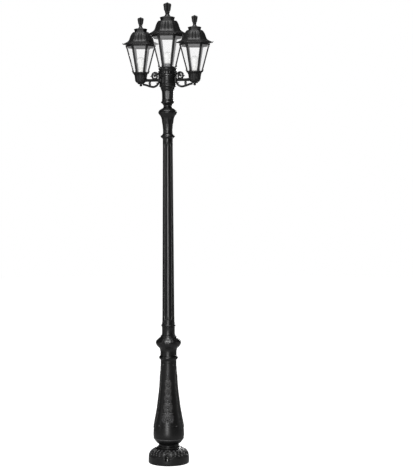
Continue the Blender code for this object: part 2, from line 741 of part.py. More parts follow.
def arm(side):
    """Bar, scroll, lower bracket and seat disc of one arm, as one forging."""
    turn = (0, 0, ARM_TURN[side])
    plate = box_mesh(f"arm_{side}", (0.0585, -0.012, 2.641), (0.0655, 0.012, 2.728))
    made = link(plate, CAST_BLACK, rotation=turn)
    bar_end = ARM_REACH - 0.0468
    scroll = spiral_path(SCROLL_U, SCROLL_Z, 0.0230, 0.0205, 165, -95, 12)
    eye = spiral_path(SCROLL_U, SCROLL_Z, 0.0205, 0.0060, -95, -300, 7)
    bracket = smooth_path([(0.0660, 2.6500), (0.0800, 2.6300), (0.1050, 2.6189), (0.1346, 2.6235),
                           (0.1600, 2.6318), (0.1850, 2.6375)], 2)
    pieces = [
        tube_mesh(f"bar_{side}", [(0.062, 0, BAR_Z), (bar_end, 0, BAR_Z)], BAR_R),
        tube_mesh(f"scroll_{side}", scroll + eye[1:], SCROLL_R),
        tube_mesh(f"bracket_{side}", bracket, BRACKET_R),
        tube_mesh(f"link_{side}", [(0.1346, 0, 2.6235), (0.1346, 0, BAR_Z)], 0.0078),
        tube_mesh(f"barb_{side}", [(0.114, 0, 2.6925), (0.126, 0, 2.6925), (0.1305, 0, 2.690)], 0.0036, 6),
    ]
    eye_ball = lathe_mesh(f"eye_{side}", [(0, -0.0085)] + arc(0, 0, 0.0085, -60, 60, 4) + [(0, 0.0085)], 10)
    pieces.append(moved(eye_ball, Matrix.Translation((SCROLL_U + 0.002, 0, SCROLL_Z))))
    disc = lathe_mesh(f"seat_{side}", [(0.0078, SEAT_LOW), (0.023, SEAT_LOW), (0.023, CUP_FLOOR - GAP),
                                       (0.0078, CUP_FLOOR - GAP)], 20, hollow=True)
    pieces.append(moved(disc, Matrix.Translation((ARM_REACH, 0, 0))))
    for piece in pieces:
        join(made, helper(piece, rotation=turn))


def cap_nut(side):
    """Turned nut that clamps a side lantern's cup to its arm."""
    spot = arm_spot(side)
    outline = [(0, 2.624), (0.006, 2.6248), (0.0092, 2.628), (0.0095, 2.632), (0.008, 2.635)]
    outline += [(0.0078, 2.637), (0.011, 2.6385), (0.011, SEAT_LOW - GAP), (0.0066, SEAT_LOW - GAP)]
    outline += [(0.0066, CUP_FLOOR - 0.0010), (0, CUP_FLOOR - 0.0010)]
    link(lathe_mesh(f"cap_nut_{side}", outline, 12), LANTERN_BLACK, location=(spot.x, spot.y, 0))


def arm_spot(side):
    angle = ARM_TURN[side]
    return Vector((ARM_REACH * cos(angle), ARM_REACH * sin(angle), 0))


# ---- lanterns -----------------------------------------------------------------------

class Lantern:
    """Sizes of one lantern: radii scale by wider, heights above the panes' foot by taller."""

    def __init__(self, name, spot, foot, wider, taller, hinged=False):
        self.name = name
        self.spot = spot
        self.foot = foot
        self.wider = wider
        self.taller = taller
        self.hinged = hinged
        self.bell_rise = CENTRE_BELL_RISE if hinged else BELL_RISE
        self.bell_top_r = CENTRE_BELL_TOP_R if hinged else BELL_TOP_R
        self.finial_tall = CENTRE_FINIAL_TALL if hinged else 1.0
        self.slim = wider ** 1.4
        self.low_r = LOW_R * wider
        self.high_r = HIGH_R * wider
        self.top = foot + CAGE_HEIGHT * taller
        self.brim = self.top + 0.0075
        self.apothem = self.high_r * cos(pi / 6)
        self.pin_out = self.apothem + 0.0085
        self.pin_z = self.brim - 0.0065

    def label(self, piece):
        return f"{self.name}_{piece}"

    def height(self, rise):
        """A height above the brim's underside, in this lantern's proportions."""
        return self.brim + rise * self.taller

    def turn_out(self):
        """Carries the local hinge layout, with its pin along Y on the +X side, to its angle."""
        return Matrix.Translation(self.spot) @ Matrix.Rotation(HINGE_TURN, 4, "Z")


def cup(lantern):
    low = CUP_FLOOR
    outer = [(0.020, low), (0.0245, low + 0.001), (0.034, low + 0.008), (0.0375, low + 0.018)]
    outer += [(0.0395, low + 0.036), (0.0425, low + 0.052), (0.048, low + 0.061), (0.0565, low + 0.0665)]
    outer += [(0.0565, lantern.foot - GAP)]
    inner = [(0.0525, lantern.foot - GAP), (0.0525, low + 0.068), (0.044, low + 0.062), (0.036, low + 0.048)]
    inner += [(0.034, low + 0.020), (0.020, low + 0.006), (0.0075, low + 0.005), (0.0075, low)]
    mesh = lathe_mesh(lantern.label("cup"), outer + inner, 18, hollow=True)
    link(mesh, LANTERN_BLACK, location=(lantern.spot.x, lantern.spot.y, 0))


def strut_mesh(lantern, angle):
    """One flat bar up a corner of the cage, with a small ear at its foot."""
    across = Vector((-sin(angle), cos(angle), 0))
    outward = Vector((cos(angle), sin(angle), 0))
    half = STRUT_WIDE / 2 * lantern.wider
    levels = ((lantern.low_r, lantern.foot + 0.001), (lantern.high_r, lantern.top - 0.001))
    loops = []
    for radius, height in levels:
        base = outward * radius + Vector((0, 0, height))
        inside = base - outward * STRUT_THICK
        aside = across * half
        loops.append([inside - aside, base - aside, base + aside, inside + aside])
    return block_mesh("strut", loops[0], loops[1])


def ear_mesh(lantern, angle):
    """Little hooked ear outside a strut's foot."""
    outward = Vector((cos(angle), sin(angle), 0))
    across = Vector((-sin(angle), cos(angle), 0))
    foot = lantern.foot
    near = lantern.low_r - 0.002
    profile = [(near, foot + 0.0008), (near + 0.0075, foot + 0.0015), (near + 0.0105, foot + 0.008),
               (near + 0.0075, foot + 0.017), (near + 0.003, foot + 0.019)]
    loops = []
    for side in (-0.0052, 0.0052):
        loops.append([outward * r + across * side + Vector((0, 0, z)) for r, z in profile])
    return block_mesh("ear", loops[0], loops[1])


def cage(lantern):
    """Lower ring, six struts, upper ring and, on the centre lantern, the hinge lugs."""
    foot = lantern.foot
    low_r = lantern.low_r
    low_ring = [(low_r - 0.008, foot), (low_r + 0.003, foot)]
    low_ring += [(low_r + 0.003, foot + 0.005), (low_r - 0.008, foot + 0.005)]
    sill = lathe_mesh(lantern.label("cage"), low_ring, 6, hollow=True)
    place = (lantern.spot.x, lantern.spot.y, 0)
    made = link(sill, LANTERN_BLACK, location=place, flat=True)
    top = lantern.top
    high_r = lantern.high_r
    ring = [(high_r - 0.008, top - 0.006), (high_r, top - 0.006)]
    ring += [(high_r, top + 0.004), (high_r - 0.008, top + 0.004)]
    high = helper(lathe_mesh("ring_" + lantern.name, ring, 6, hollow=True), location=place)
    struts = [strut_mesh(lantern, step * pi / 3) for step in range(6)]
    bars = helper(merged("struts_" + lantern.name, struts), location=place)
    ear_meshes = [ear_mesh(lantern, step * pi / 3) for step in range(6)]
    ears = helper(merged("ears_" + lantern.name, ear_meshes), location=place)
    join(made, bars, high, ears)
    if not lantern.hinged:
        return
    lugs = []
    for side in (-1, 1):
        low_y, high_y = sorted((side * 0.0105, side * 0.0205))
        start = lantern.apothem - 0.004
        lugs.append(lug_mesh(start, lantern.pin_out, lantern.pin_z, low_y, high_y))
    lug = helper(moved(merged("lugs_" + lantern.name, lugs), lantern.turn_out()))
    join(made, lug)
    cut(made, helper(pin_cutter("cage_bore_" + lantern.name, lantern)))


def lug_mesh(start, out, height, low_y, high_y):
    """A rounded ear from the ring out to the pin."""
    nose = arc(out, height, 0.0042, -90, 90, 6)
    loop = [(start, height - 0.0042)] + nose + [(start, height + 0.0042)]
    return block_mesh("lug", [(x, low_y, z) for x, z in loop], [(x, high_y, z) for x, z in loop])


def pin_cutter(name, lantern):
    along = Matrix.Rotation(radians(90), 4, "X")
    bore = rod_mesh(name, PIN_R + PIN_CLEARANCE, -0.04, 0.04, 12)
    place = lantern.turn_out() @ Matrix.Translation((lantern.pin_out, 0, lantern.pin_z)) @ along
    return moved(bore, place)


def hinge_pin(lantern):
    along = Matrix.Rotation(radians(90), 4, "X")
    outline = [(0, -0.0232), (0.0036, -0.0232), (0.0036, -0.0210)]
    outline += [(PIN_R, -0.0210), (PIN_R, 0.0225), (0, 0.0225)]
    turn = Matrix.Rotation(HINGE_TURN, 4, "Z") @ along
    spot = lantern.turn_out() @ Vector((lantern.pin_out, 0, lantern.pin_z))
    link(lathe_mesh(lantern.label("hinge_pin"), outline, 12), ZINC, spot, turn.to_euler())


def diffuser(lantern):
    """Six-sided clear shell held inside the struts."""
    inset = STRUT_THICK + 0.0012
    low = lantern.foot + 0.0055
    high = lantern.top - 0.0065
    slope = (lantern.high_r - lantern.low_r) / (lantern.top - lantern.foot)
    low_r = lantern.low_r + slope * (low - lantern.foot) - inset
    high_r = lantern.low_r + slope * (high - lantern.foot) - inset
    outline = [(low_r - PANE_THICK, low), (low_r, low), (high_r, high), (high_r - PANE_THICK, high)]
    mesh = lathe_mesh(lantern.label("diffuser"), outline, 6, hollow=True)
    link(mesh, CLEAR, location=(lantern.spot.x, lantern.spot.y, 0), flat=True)


def lamp_gear(lantern):
    """Enamelled plate, lamp holder and lamp."""
    place = (lantern.spot.x, lantern.spot.y, 0)
    foot = lantern.foot
    plate_r = (lantern.low_r - 0.008) * cos(pi / 6) - 0.0012
    plate = [(0, foot + 0.0005), (plate_r, foot + 0.0005), (plate_r, foot + 0.0025), (0.019, foot + 0.0025)]
    plate += [(0.017, foot + 0.004), (0, foot + 0.004)]
    link(lathe_mesh(lantern.label("lamp_plate"), plate, 18), WHITE_METAL, location=place)
    low = foot + 0.004 + GAP
    holder = [(0, low), (0.0165, low), (0.0175, low + 0.004), (0.0175, low + 0.016), (0.0155, low + 0.018)]
    holder += [(0.0155, low + 0.034), (0.0145, low + 0.035), (0.0140, low + 0.014), (0, low + 0.013)]
    link(lathe_mesh(lantern.label("lamp_holder"), holder, 16), PORCELAIN, location=place)
    seat = low + 0.0145
    lamp = [(0, seat), (0.0128, seat), (0.0128, seat + 0.022), (0.0150, seat + 0.032)]
    lamp += arc(0, seat + 0.064, 0.026, -50, 70, 5) + [(0, seat + 0.090)]
    link(lathe_mesh(lantern.label("lamp"), lamp, 16), LAMP_GLASS, location=place)


def roof_levels(lantern):
    """Bell-shaped outer profile: (vertex radius, height above the brim's underside)."""
    bell = [(BRIM_R, 0.0), (BRIM_R, 0.0030), (0.112, 0.0085), (0.098, 0.0150), (0.0880, 0.0215)]
    bell += [(0.0805, 0.0300), (0.0755, 0.0430), (0.0705, 0.0570), (0.0640, 0.0700)]
    bell += [(lantern.bell_top_r + 0.0070, lantern.bell_rise - 0.0060), (lantern.bell_top_r, lantern.bell_rise)]
    return [(radius * lantern.wider, rise) for radius, rise in bell]


def roof(lantern, hinge):
    """Hollow hexagonal bell with a flat flared brim and, where it is hinged, a lug."""
    levels = roof_levels(lantern)
    outer = [(radius, lantern.height(rise)) for radius, rise in levels]
    wall = 0.0032
    inner = [(0.0, outer[-1][1] - wall)]
    for radius, height in outer[-2:4:-1]:
        inner.append((radius - wall, height - wall * 0.7))
    inner.append((lantern.high_r - 0.014, lantern.brim + 0.0030))
    inner.append((lantern.high_r - 0.012, lantern.brim))
    outline = [(0.0, outer[-1][1])] + outer[::-1] + inner[::-1]
    mesh = lathe_mesh(lantern.label("roof"), outline, 6)
    back = hinge.matrix_basis.inverted()
    whole = back @ Matrix.Translation(lantern.spot)
    made = link(moved(mesh, whole), LANTERN_BLACK, parent=hinge, flat=True)
    if not lantern.hinged:
        return whole
    nose = arc(lantern.pin_out, lantern.pin_z, 0.0042, -180, 0, 6)
    top = lantern.brim + 0.0015
    loop = nose + [(lantern.pin_out + 0.0042, top), (lantern.pin_out - 0.0042, top)]
    near = [(x, -0.0098, z) for x, z in loop]
    far = [(x, 0.0098, z) for x, z in loop]
    lug = block_mesh("roof_lug_" + lantern.name, near, far)
    join(made, hinged_helper(moved(lug, back @ lantern.turn_out()), hinge))
    cut(made, hinged_helper(moved(pin_cutter("roof_bore_" + lantern.name, lantern), back), hinge))
    return whole


def crown(lantern, hinge, whole):
    """Flared hexagonal cap plate under the finial."""
    low = lantern.height(lantern.bell_rise) + GAP
    shape = [(0.0, 0.0), (0.0430, 0.0), (0.0435, 0.005), (0.0448, 0.012), (0.0462, 0.0165)]
    shape += [(0.0462, 0.0205), (0.0360, 0.0235), (0.0, 0.0235)]
    outline = [(radius * lantern.slim, low + rise * lantern.taller) for radius, rise in shape]
    mesh = lathe_mesh(lantern.label("crown"), outline, 12)
    link(moved(mesh, whole), LANTERN_BLACK, parent=hinge, flat=True)


def finial(lantern, hinge, whole):
    """Faceted torch-shaped finial."""
    low = lantern.height(lantern.bell_rise) + GAP + 0.0235 * lantern.taller + GAP
    wide = 1.0 + 3.2 * (lantern.wider - 1.0)
    shape = [(0.0, 0.0), (0.018, 0.0), (0.0165, 0.004), (0.0125, 0.009), (0.0110, 0.014), (0.0112, 0.020)]
    shape += [(0.0125, 0.026), (0.0160, 0.034), (0.0175, 0.040), (0.0185, 0.048), (0.0198, 0.0575)]
    shape += [(0.0209, 0.0640), (0.0195, 0.0690), (0.0125, 0.0735), (0.0055, 0.0757), (0.0, 0.078)]
    outline = [(radius * wide, low + rise * lantern.finial_tall) for radius, rise in shape]
    mesh = lathe_mesh(lantern.label("finial"), outline, 8)
    link(moved(mesh, whole), LANTERN_BLACK, parent=hinge, flat=True)


def lantern_assembly(lantern):
    """One lantern; the side roofs are screwed down, under the centre roof's brim."""
    cage(lantern)
    diffuser(lantern)
    lamp_gear(lantern)
    if lantern.hinged:
        hinge_pin(lantern)
        spot = lantern.turn_out() @ Vector((lantern.pin_out, 0, lantern.pin_z))
        hinge = empty(lantern.label("roof_axis"), spot, (0, 0, HINGE_TURN))
    else:
        hinge = empty(lantern.label("roof_seat"), lantern.spot, (0, 0, 0))
    whole = roof(lantern, hinge)
    crown(lantern, hinge, whole)
    finial(lantern, hinge, whole)


# ---- assembly -----------------------------------------------------------------------

def build():
    base_flange()
    for index in range(BOLT_COUNT):
        anchor_bolt(index)
    base_column()
    place = facet_matrix()
    hinge = empty("door_axis", place.translation, facet_frame())
    access_door(hinge)
    door_screws(place, hinge)
    lock_insert(place)
    core_tube()
    slot_tube()
    foot_tube()
    earth_screw()
    terminal_block()
    terminal_carrier()
    knop()
    lower_collar()
    fluted_shaft()
    upper_ring()
    capital()
    hub_neck()
    arm_hub()
    for side in ("right", "left"):
        arm(side)
        cap_nut(side)
    right = Lantern("right", arm_spot("right"), PANE_LOW, 1.0, 1.0)
    left = Lantern("left", arm_spot("left"), PANE_LOW, 1.0, 1.0)
    centre = Lantern("centre", Vector((0, 0, 0)), CENTRE_PANE_LOW, CENTRE_WIDER, CENTRE_TALLER, True)
    for lantern in (right, left):
        cup(lantern)
    for lantern in (right, left, centre):
        lantern_assembly(lantern)
    bpy.context.view_layer.update()


build()
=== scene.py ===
"""Looks of a three-lantern street lamp post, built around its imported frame.

Metres, +Z up; the access door faces -Y. Every piece takes its place from the frame's nodes.
"""

import json
from math import acos, cos, pi, radians, sin, sqrt, tau

import bmesh
import bpy
import numpy as np
from mathutils import Matrix, Vector


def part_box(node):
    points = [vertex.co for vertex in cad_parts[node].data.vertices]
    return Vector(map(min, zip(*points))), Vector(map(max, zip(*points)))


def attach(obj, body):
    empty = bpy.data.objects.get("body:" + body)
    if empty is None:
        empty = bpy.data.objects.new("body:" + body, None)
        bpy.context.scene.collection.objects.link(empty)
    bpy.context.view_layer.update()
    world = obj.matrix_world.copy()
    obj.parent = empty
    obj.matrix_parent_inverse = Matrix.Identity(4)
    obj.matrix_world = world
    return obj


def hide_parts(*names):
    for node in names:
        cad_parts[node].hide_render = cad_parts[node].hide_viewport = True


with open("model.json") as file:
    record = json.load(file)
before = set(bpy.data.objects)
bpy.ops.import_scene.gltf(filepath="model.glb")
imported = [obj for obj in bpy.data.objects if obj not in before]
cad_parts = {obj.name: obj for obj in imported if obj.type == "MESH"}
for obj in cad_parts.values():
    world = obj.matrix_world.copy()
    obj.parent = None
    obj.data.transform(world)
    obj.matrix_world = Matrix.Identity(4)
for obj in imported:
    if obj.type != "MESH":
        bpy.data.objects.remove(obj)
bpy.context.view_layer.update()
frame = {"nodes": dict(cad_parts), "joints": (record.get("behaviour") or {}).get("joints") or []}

# ---- sizes that the frame's boxes don't give -----------------------------------------

FINE = 96                 # facets of the large turned castings
SMALL = 40                # facets of small turned pieces
EDGE = 0.0007             # softened edge of cast and forged pieces

DOOR_REACH = 0.366        # pivot to the door's lower edge
DOOR_CROWN = 0.072        # pivot to the door's upper edge
DOOR_CORNER = 0.018
DOOR_PROUD = 0.0015
DOOR_SKIN = 0.0045
COLUMN_WALL = 0.008
HATCH_HALF = 0.0285
HATCH_TOP = 0.030
HATCH_BOTTOM = 0.338
SCREW_DROP = 0.350

LEAF_RISE = 0.0042        # height of the cast foliage
LEAF_ROOT = 0.0008        # how deep the foliage is rooted in the skin
LEAF_SUNK = 0.0030        # how deep the base's leaves are sunk in its slope
FLANGE_SLOPE = radians(40)
FLANGE_ROWS = ((0.1010, 0.0950, 22), (0.1130, 0.0876, 26), (0.1235, 0.0790, 28), (0.1305, 0.0690, 30))
POCKET_TURNS = [radians(-90) + tau * index / 3 for index in range(3)]
POCKET_CLEAR = 0.027      # leaves keep this far from the middle of a pocket
POCKET_INNER_R = 0.112    # and only those further out than this

TUBE_ROOM = 0.0205        # bore of the castings that sit on the tube's narrow part

SIDE_BRIM_R = 0.124       # a side lantern's brim, corner radius
SIDE_CAGE_RISE = 0.187
SIDE_LOW_R = 0.054
SIDE_HIGH_R = 0.103
SIDE_BELL_RISE = 0.087
SIDE_BELL_TOP_R = 0.048
CENTRE_BELL_RISE = 0.0818
CENTRE_BELL_TOP_R = 0.053
CENTRE_TALLER = 1.165
FINIAL_RISE = 0.078
PAINTED_SHADE_SKIRT_DROP = 0.0185       # the dark skirt inside the panes' top, below the upper ring; a dark sheet that paints the shade under the roof
STRUT_WIDE = 0.0135
STRUT_THICK = 0.005
STRUT_DEEP = 0.0085       # depth of a strut with the groove that holds its panes
PANE_THICK = 0.003
HINGE_TURN = radians(90)
ARM_TURN = {"right": radians(-19.6), "left": radians(160.4)}

JOINT = {joint["name"]: joint for joint in frame["joints"]}


# ---- node materials -----------------------------------------------------------------

class Nodes:
    """A short way to write a procedural material."""

    def __init__(self, name):
        self.made = bpy.data.materials.new(name)
        self.made.use_nodes = True
        self.tree = self.made.node_tree
        self.shader = self.tree.nodes["Principled BSDF"]
        self.coords = self.tree.nodes.new("ShaderNodeTexCoord").outputs["Object"]

    def set(self, **values):
        for key, value in values.items():
            self.shader.inputs[key.replace("_", " ")].default_value = value

    def node(self, kind, inputs=(), **settings):
        made = self.tree.nodes.new("ShaderNode" + kind)
        for key, value in settings.items():
            setattr(made, key, value)
        for key, value in dict(inputs).items():
            if isinstance(value, bpy.types.NodeSocket):
                self.tree.links.new(value, made.inputs[key])
            else:
                made.inputs[key].default_value = value
        return made

    def noise(self, scale, detail=4.0, roughness=0.55, stretch=None):
        source = self.coords
        if stretch:
            source = self.node("Mapping", {"Vector": self.coords, "Scale": stretch}).outputs[0]
        return self.node("TexNoise", {"Vector": source, "Scale": scale, "Detail": detail,
                                      "Roughness": roughness}).outputs[0]

    def cells(self, scale, feature="F1", output="Distance"):
        return self.node("TexVoronoi", {"Vector": self.coords, "Scale": scale},
                         feature=feature).outputs[output]

    def ramp(self, value, stops):
        made = self.node("ValToRGB", {"Fac": value})
        bar = made.color_ramp
        while len(bar.elements) < len(stops):
            bar.elements.new(0.5)
        for element, (place, color) in zip(bar.elements, stops):
            element.position = place
            element.color = (*color, 1.0) if len(color) == 3 else color
        return made.outputs["Color"]

    def span(self, value, low, high, to_low, to_high):
        return self.node("MapRange", {"Value": value, "From Min": low, "From Max": high,
                                      "To Min": to_low, "To Max": to_high}).outputs[0]

    def bumps(self, *layers):
        """Stack bump layers, each (height, strength, distance in metres)."""
        normal = None
        for height, strength, distance in layers:
            inputs = {"Height": height, "Strength": strength, "Distance": distance}
            if normal:
                inputs["Normal"] = normal
            normal = self.node("Bump", inputs).outputs[0]
        self.feed("Normal", normal)

    def feed(self, key, socket):
        self.tree.links.new(socket, self.shader.inputs[key])


def black_paint(name, grain=420.0, bump=0.35, rough=(0.34, 0.50), painted_light_scale=1.0):
    """Satin black paint over metal, with orange peel, faint dust and casting grain; the colour scale
    argument is 1 for the paint itself, above 1 a paler copy that paints highlights on relief, below 1 a
    darker copy that paints shade.
    """
    paint = Nodes(name)
    cloud = paint.noise(9.0, 5.0)
    speck = paint.noise(160.0, 3.0)
    dark = tuple(painted_light_scale * value for value in (0.0034, 0.0034, 0.0037))
    pale = tuple(painted_light_scale * value for value in (0.0066, 0.0065, 0.0063))
    paint.feed("Base Color", paint.ramp(cloud, [(0.32, dark), (0.72, pale)]))
    mixed = paint.node("Math", {0: cloud, 1: speck}, operation="MULTIPLY_ADD").outputs[0]
    paint.feed("Roughness", paint.span(mixed, 0.3, 1.1, rough[0], rough[1]))
    paint.bumps((paint.noise(grain, 3.0), bump, 0.0004), (paint.noise(45.0, 2.0), 0.10, 0.0012))
    paint.set(Metallic=0.0, IOR=1.52)
    paint.shader.inputs["Coat Weight"].default_value = 0.10
    paint.shader.inputs["Coat Roughness"].default_value = 0.40
    return paint.made


def galvanised():
    steel = Nodes("galvanised")
    spangle = steel.cells(95.0, output="Color")
    gray = steel.node("RGBToBW", {"Color": spangle}).outputs[0]
    steel.feed("Base Color", steel.ramp(gray, [(0.15, (0.235, 0.265, 0.245)), (0.85, (0.43, 0.46, 0.42))]))
    steel.feed("Roughness", steel.span(gray, 0.0, 1.0, 0.42, 0.62))
    steel.bumps((steel.noise(300.0), 0.15, 0.0004))
    steel.set(Metallic=0.75)
    return steel.made


def plated(name, color, rough=(0.22, 0.40)):
    """Bright plated or turned metal with fine tool marks and handling stains."""
    metal = Nodes(name)
    stain = metal.noise(55.0, 4.0)
    darker = tuple(0.62 * value for value in color)
    metal.feed("Base Color", metal.ramp(stain, [(0.30, darker), (0.62, color)]))
    metal.feed("Roughness", metal.span(stain, 0.25, 0.75, rough[1], rough[0]))
    metal.bumps((metal.noise(900.0, 2.0, stretch=(1.0, 1.0, 0.15)), 0.20, 0.0002))
    metal.set(Metallic=1.0)
    return metal.made


def moulded(name, color, rough=0.5, coat=0.0, glow=0.0):
    """Moulded or glazed pale part with a faint mottle; the glow argument is the opal lamp's own light, and
    on the porcelain holder, which is no lamp, it is painted light.
    """
    part = Nodes(name)
    mottle = part.noise(40.0, 3.0)
    part.feed("Base Color", part.ramp(mottle, [(0.25, tuple(0.88 * v for v in color)), (0.75, color)]))
    part.feed("Roughness", part.span(mottle, 0.2, 0.8, rough * 0.85, rough * 1.15))
    part.bumps((part.noise(500.0, 2.0), 0.10, 0.0002))
    part.shader.inputs["Coat Weight"].default_value = coat
    part.shader.inputs["Emission Color"].default_value = (1.0, 1.0, 1.0, 1.0)
    part.shader.inputs["Emission Strength"].default_value = glow
    return part.made


def hazy_pane():
    """Clear polycarbonate with a light milky haze and faint streaks of dust; its white glow is painted
    light for the haze lit from outside.
    """
    pane = Nodes("hazy_pane")
    streak = pane.noise(26.0, 4.0, stretch=(1.0, 1.0, 0.18))
    pane.feed("Base Color", pane.ramp(streak, [(0.3, (0.030, 0.030, 0.031)), (0.7, (0.045, 0.045, 0.045))]))
    pane.feed("Alpha", pane.span(streak, 0.3, 0.7, 0.095, 0.115))
    pane.feed("Roughness", pane.span(streak, 0.3, 0.7, 0.16, 0.30))
    pane.bumps((pane.noise(35.0, 2.0), 0.05, 0.0006))
    pane.set(IOR=1.35)
    pane.shader.inputs["Emission Color"].default_value = (1.0, 1.0, 1.0, 1.0)
    pane.shader.inputs["Emission Strength"].default_value = PANE_PAINTED_GLOW
    return pane.made


# Strength of the panes' white glow: painted light for the lit haze, as the panes are no lamp.
PANE_PAINTED_GLOW = 0.70
CAST = black_paint("cast_black", grain=260.0, bump=0.16, rough=(0.30, 0.40))
# Paler copy of the black paint for the relief: painted highlight for the light that the foliage, roses and
# hoods catch.
RELIEF_PAINTED_HIGHLIGHT = black_paint("relief_painted_highlight", grain=300.0, bump=0.12, rough=(0.40, 0.52), painted_light_scale=7.5)
# Much paler copy of the black paint for the base's leaves and the bulb's bead: painted highlight on
# surfaces that face the light.
LEAFED_PAINTED_HIGHLIGHT = black_paint("leafed_painted_highlight", grain=240.0, bump=0.30, rough=(0.30, 0.44), painted_light_scale=18.0)
POST = black_paint("post_black", grain=420.0, bump=0.10, rough=(0.28, 0.38))
# Slightly darker copy of the black paint for the lanterns: painted shade.
LANTERN_PAINTED_SHADE = black_paint("lantern_black", grain=500.0, bump=0.12, rough=(0.48, 0.60), painted_light_scale=0.8)
GALVANISED = galvanised()
ZINC = plated("zinc_plate", (0.70, 0.70, 0.68))
DARK_STEEL = plated("dark_steel", (0.10, 0.10, 0.105), (0.30, 0.45))
BRASS = plated("brass", (0.72, 0.50, 0.20), (0.24, 0.36))
CREAM = moulded("cream_plastic", (0.84, 0.82, 0.70), 0.48)
ENAMEL = moulded("white_enamel", (0.84, 0.84, 0.82), 0.28, 0.4)
# The porcelain holder's glow is painted light: the holder is no lamp.
PORCELAIN_PAINTED_GLOW = moulded("porcelain", (0.86, 0.85, 0.80), 0.22, 0.6, 0.42)
OPAL = moulded("opal_lamp", (0.90, 0.90, 0.88), 0.30, 0.1, 0.46)
PANE = hazy_pane()


# ---- outlines and meshes ------------------------------------------------------------

def mm(base_r, base_z, *points):
    """An outline in millimetres, counted from a radius and a height in metres."""
    return [(base_r + r / 1000, base_z + z / 1000) for r, z in points]


def arc(centre_r, centre_z, radius, start, end, count=8):
    points = []
    for step in range(count + 1):
        angle = radians(start + (end - start) * step / count)
        points.append((centre_r + radius * cos(angle), centre_z + radius * sin(angle)))
    return points


def smooth(points, count=5):
    """A smooth curve through points of any dimension."""
    padded = [points[0]] + list(points) + [points[-1]]
    path = []
    for p0, p1, p2, p3 in zip(padded, padded[1:], padded[2:], padded[3:]):
        for step in range(count):
            t = step / count
            spot = []
            for a, b, c, d in zip(p0, p1, p2, p3):
                curve = 2 * b + (c - a) * t + (2 * a - 5 * b + 4 * c - d) * t ** 2
                spot.append((curve + (3 * b - a - 3 * c + d) * t ** 3) / 2)
            path.append(tuple(spot))
    return path + [tuple(points[-1])]


def mesh_of(name, points, faces):
    work = bmesh.new()
    spots = [work.verts.new(point) for point in points]
    for face in faces:
        work.faces.new([spots[index] for index in face])
    bmesh.ops.recalc_face_normals(work, faces=work.faces)
    mesh = bpy.data.meshes.new(name)
    work.to_mesh(mesh)
    work.free()
    return mesh


def turned_mesh(name, outline, steps, reach=None, hollow=False):
    """Turn a (radius, height) outline about +Z; reach(radius, height, angle) adds relief."""
    points = []
    rings = []
    for radius, height in outline:
        first = len(points)
        if radius < 1e-6:
            points.append((0.0, 0.0, height))
            rings.append([first])
            continue
        for step in range(steps):
            angle = step * tau / steps
            out = reach(radius, height, angle) if reach else radius
            points.append((out * cos(angle), out * sin(angle), height))
        rings.append(list(range(first, first + steps)))
    faces = []
    pairs = list(zip(rings, rings[1:])) + ([(rings[-1], rings[0])] if hollow else [])
    for lower, upper in pairs:
        for step in range(max(len(lower), len(upper))):
            after = (step + 1) % steps
            if len(lower) == 1:
                faces.append((lower[0], upper[step], upper[after]))
            elif len(upper) == 1:
                faces.append((lower[step], lower[after], upper[0]))
            else:
                faces.append((lower[step], lower[after], upper[after], upper[step]))
    return mesh_of(name, points, faces)


def prism_mesh(name, low, high):
    """A closed solid between two matching loops of points."""
    count = len(low)
    sides = [(step, (step + 1) % count, count + (step + 1) % count, count + step) for step in range(count)]
    return mesh_of(name, list(low) + list(high), sides + [tuple(range(count)),
                                                          tuple(range(count, 2 * count))])


def bar_mesh(name, path, radii, sides=14, flat=1.0):
    """A closed bar along a path of 3-D points; radii is one number or one for each point."""
    path = [Vector(point) for point in path]
    if isinstance(radii, (int, float)):
        radii = [radii] * len(path)
    side_way = Vector((0, 1, 0))
    points = []
    for index, spot in enumerate(path):
        along = (path[min(index + 1, len(path) - 1)] - path[max(index - 1, 0)]).normalized()
        across = side_way.cross(along)
        if across.length < 1e-4:
            across = Vector((1, 0, 0))
        across.normalize()
        other = along.cross(across).normalized()
        for side in range(sides):
            angle = tau * side / sides
            points.append(spot + (across * cos(angle) + other * sin(angle) * flat) * radii[index])
    faces = []
    for index in range(len(path) - 1):
        for side in range(sides):
            after = (side + 1) % sides
            near = index * sides
            faces.append((near + side, near + after, near + sides + after, near + sides + side))
    faces.append(tuple(range(sides)))
    faces.append(tuple(range(len(points) - sides, len(points))))
    return mesh_of(name, points, faces)


def ball_mesh(name, centre, radius, squash=1.0, steps=16):
    outline = [(0, -radius * squash)]
    outline += [(r, z * squash) for r, z in arc(0, 0, radius, -75, 75, 8)]
    mesh = turned_mesh(name, outline + [(0, radius * squash)], steps)
    mesh.transform(Matrix.Translation(centre))
    return mesh


def moved(mesh, matrix):
    mesh.transform(matrix)
    return mesh


def merged(name, meshes):
    work = bmesh.new()
    for mesh in meshes:
        work.from_mesh(mesh)
        bpy.data.meshes.remove(mesh)
    bmesh.ops.recalc_face_normals(work, faces=work.faces)
    mesh = bpy.data.meshes.new(name)
    work.to_mesh(mesh)
    work.free()
    return mesh


def boolean(mesh, tools, operation="DIFFERENCE"):
    """Apply exact booleans to a mesh and return the result."""
    target = bpy.data.objects.new(mesh.name + "_solid", mesh)
    bpy.context.scene.collection.objects.link(target)
    helpers = []
    for tool in tools:
        helper = bpy.data.objects.new(tool.name, tool)
        bpy.context.scene.collection.objects.link(helper)
        modifier = target.modifiers.new("cut", "BOOLEAN")
        modifier.operation = operation
        modifier.solver = "EXACT"
        modifier.object = helper
        helpers.append(helper)
    made = baked(target, mesh.name)
    for helper in helpers:
        bpy.data.objects.remove(helper)
    return made


def baked(target, name):
    """The mesh of an object with its modifiers applied; the object itself is removed."""
    bpy.context.view_layer.update()
    graph = bpy.context.evaluated_depsgraph_get()
    made = bpy.data.meshes.new_from_object(target.evaluated_get(graph))
    bpy.data.objects.remove(target)
    made.name = name
    return made


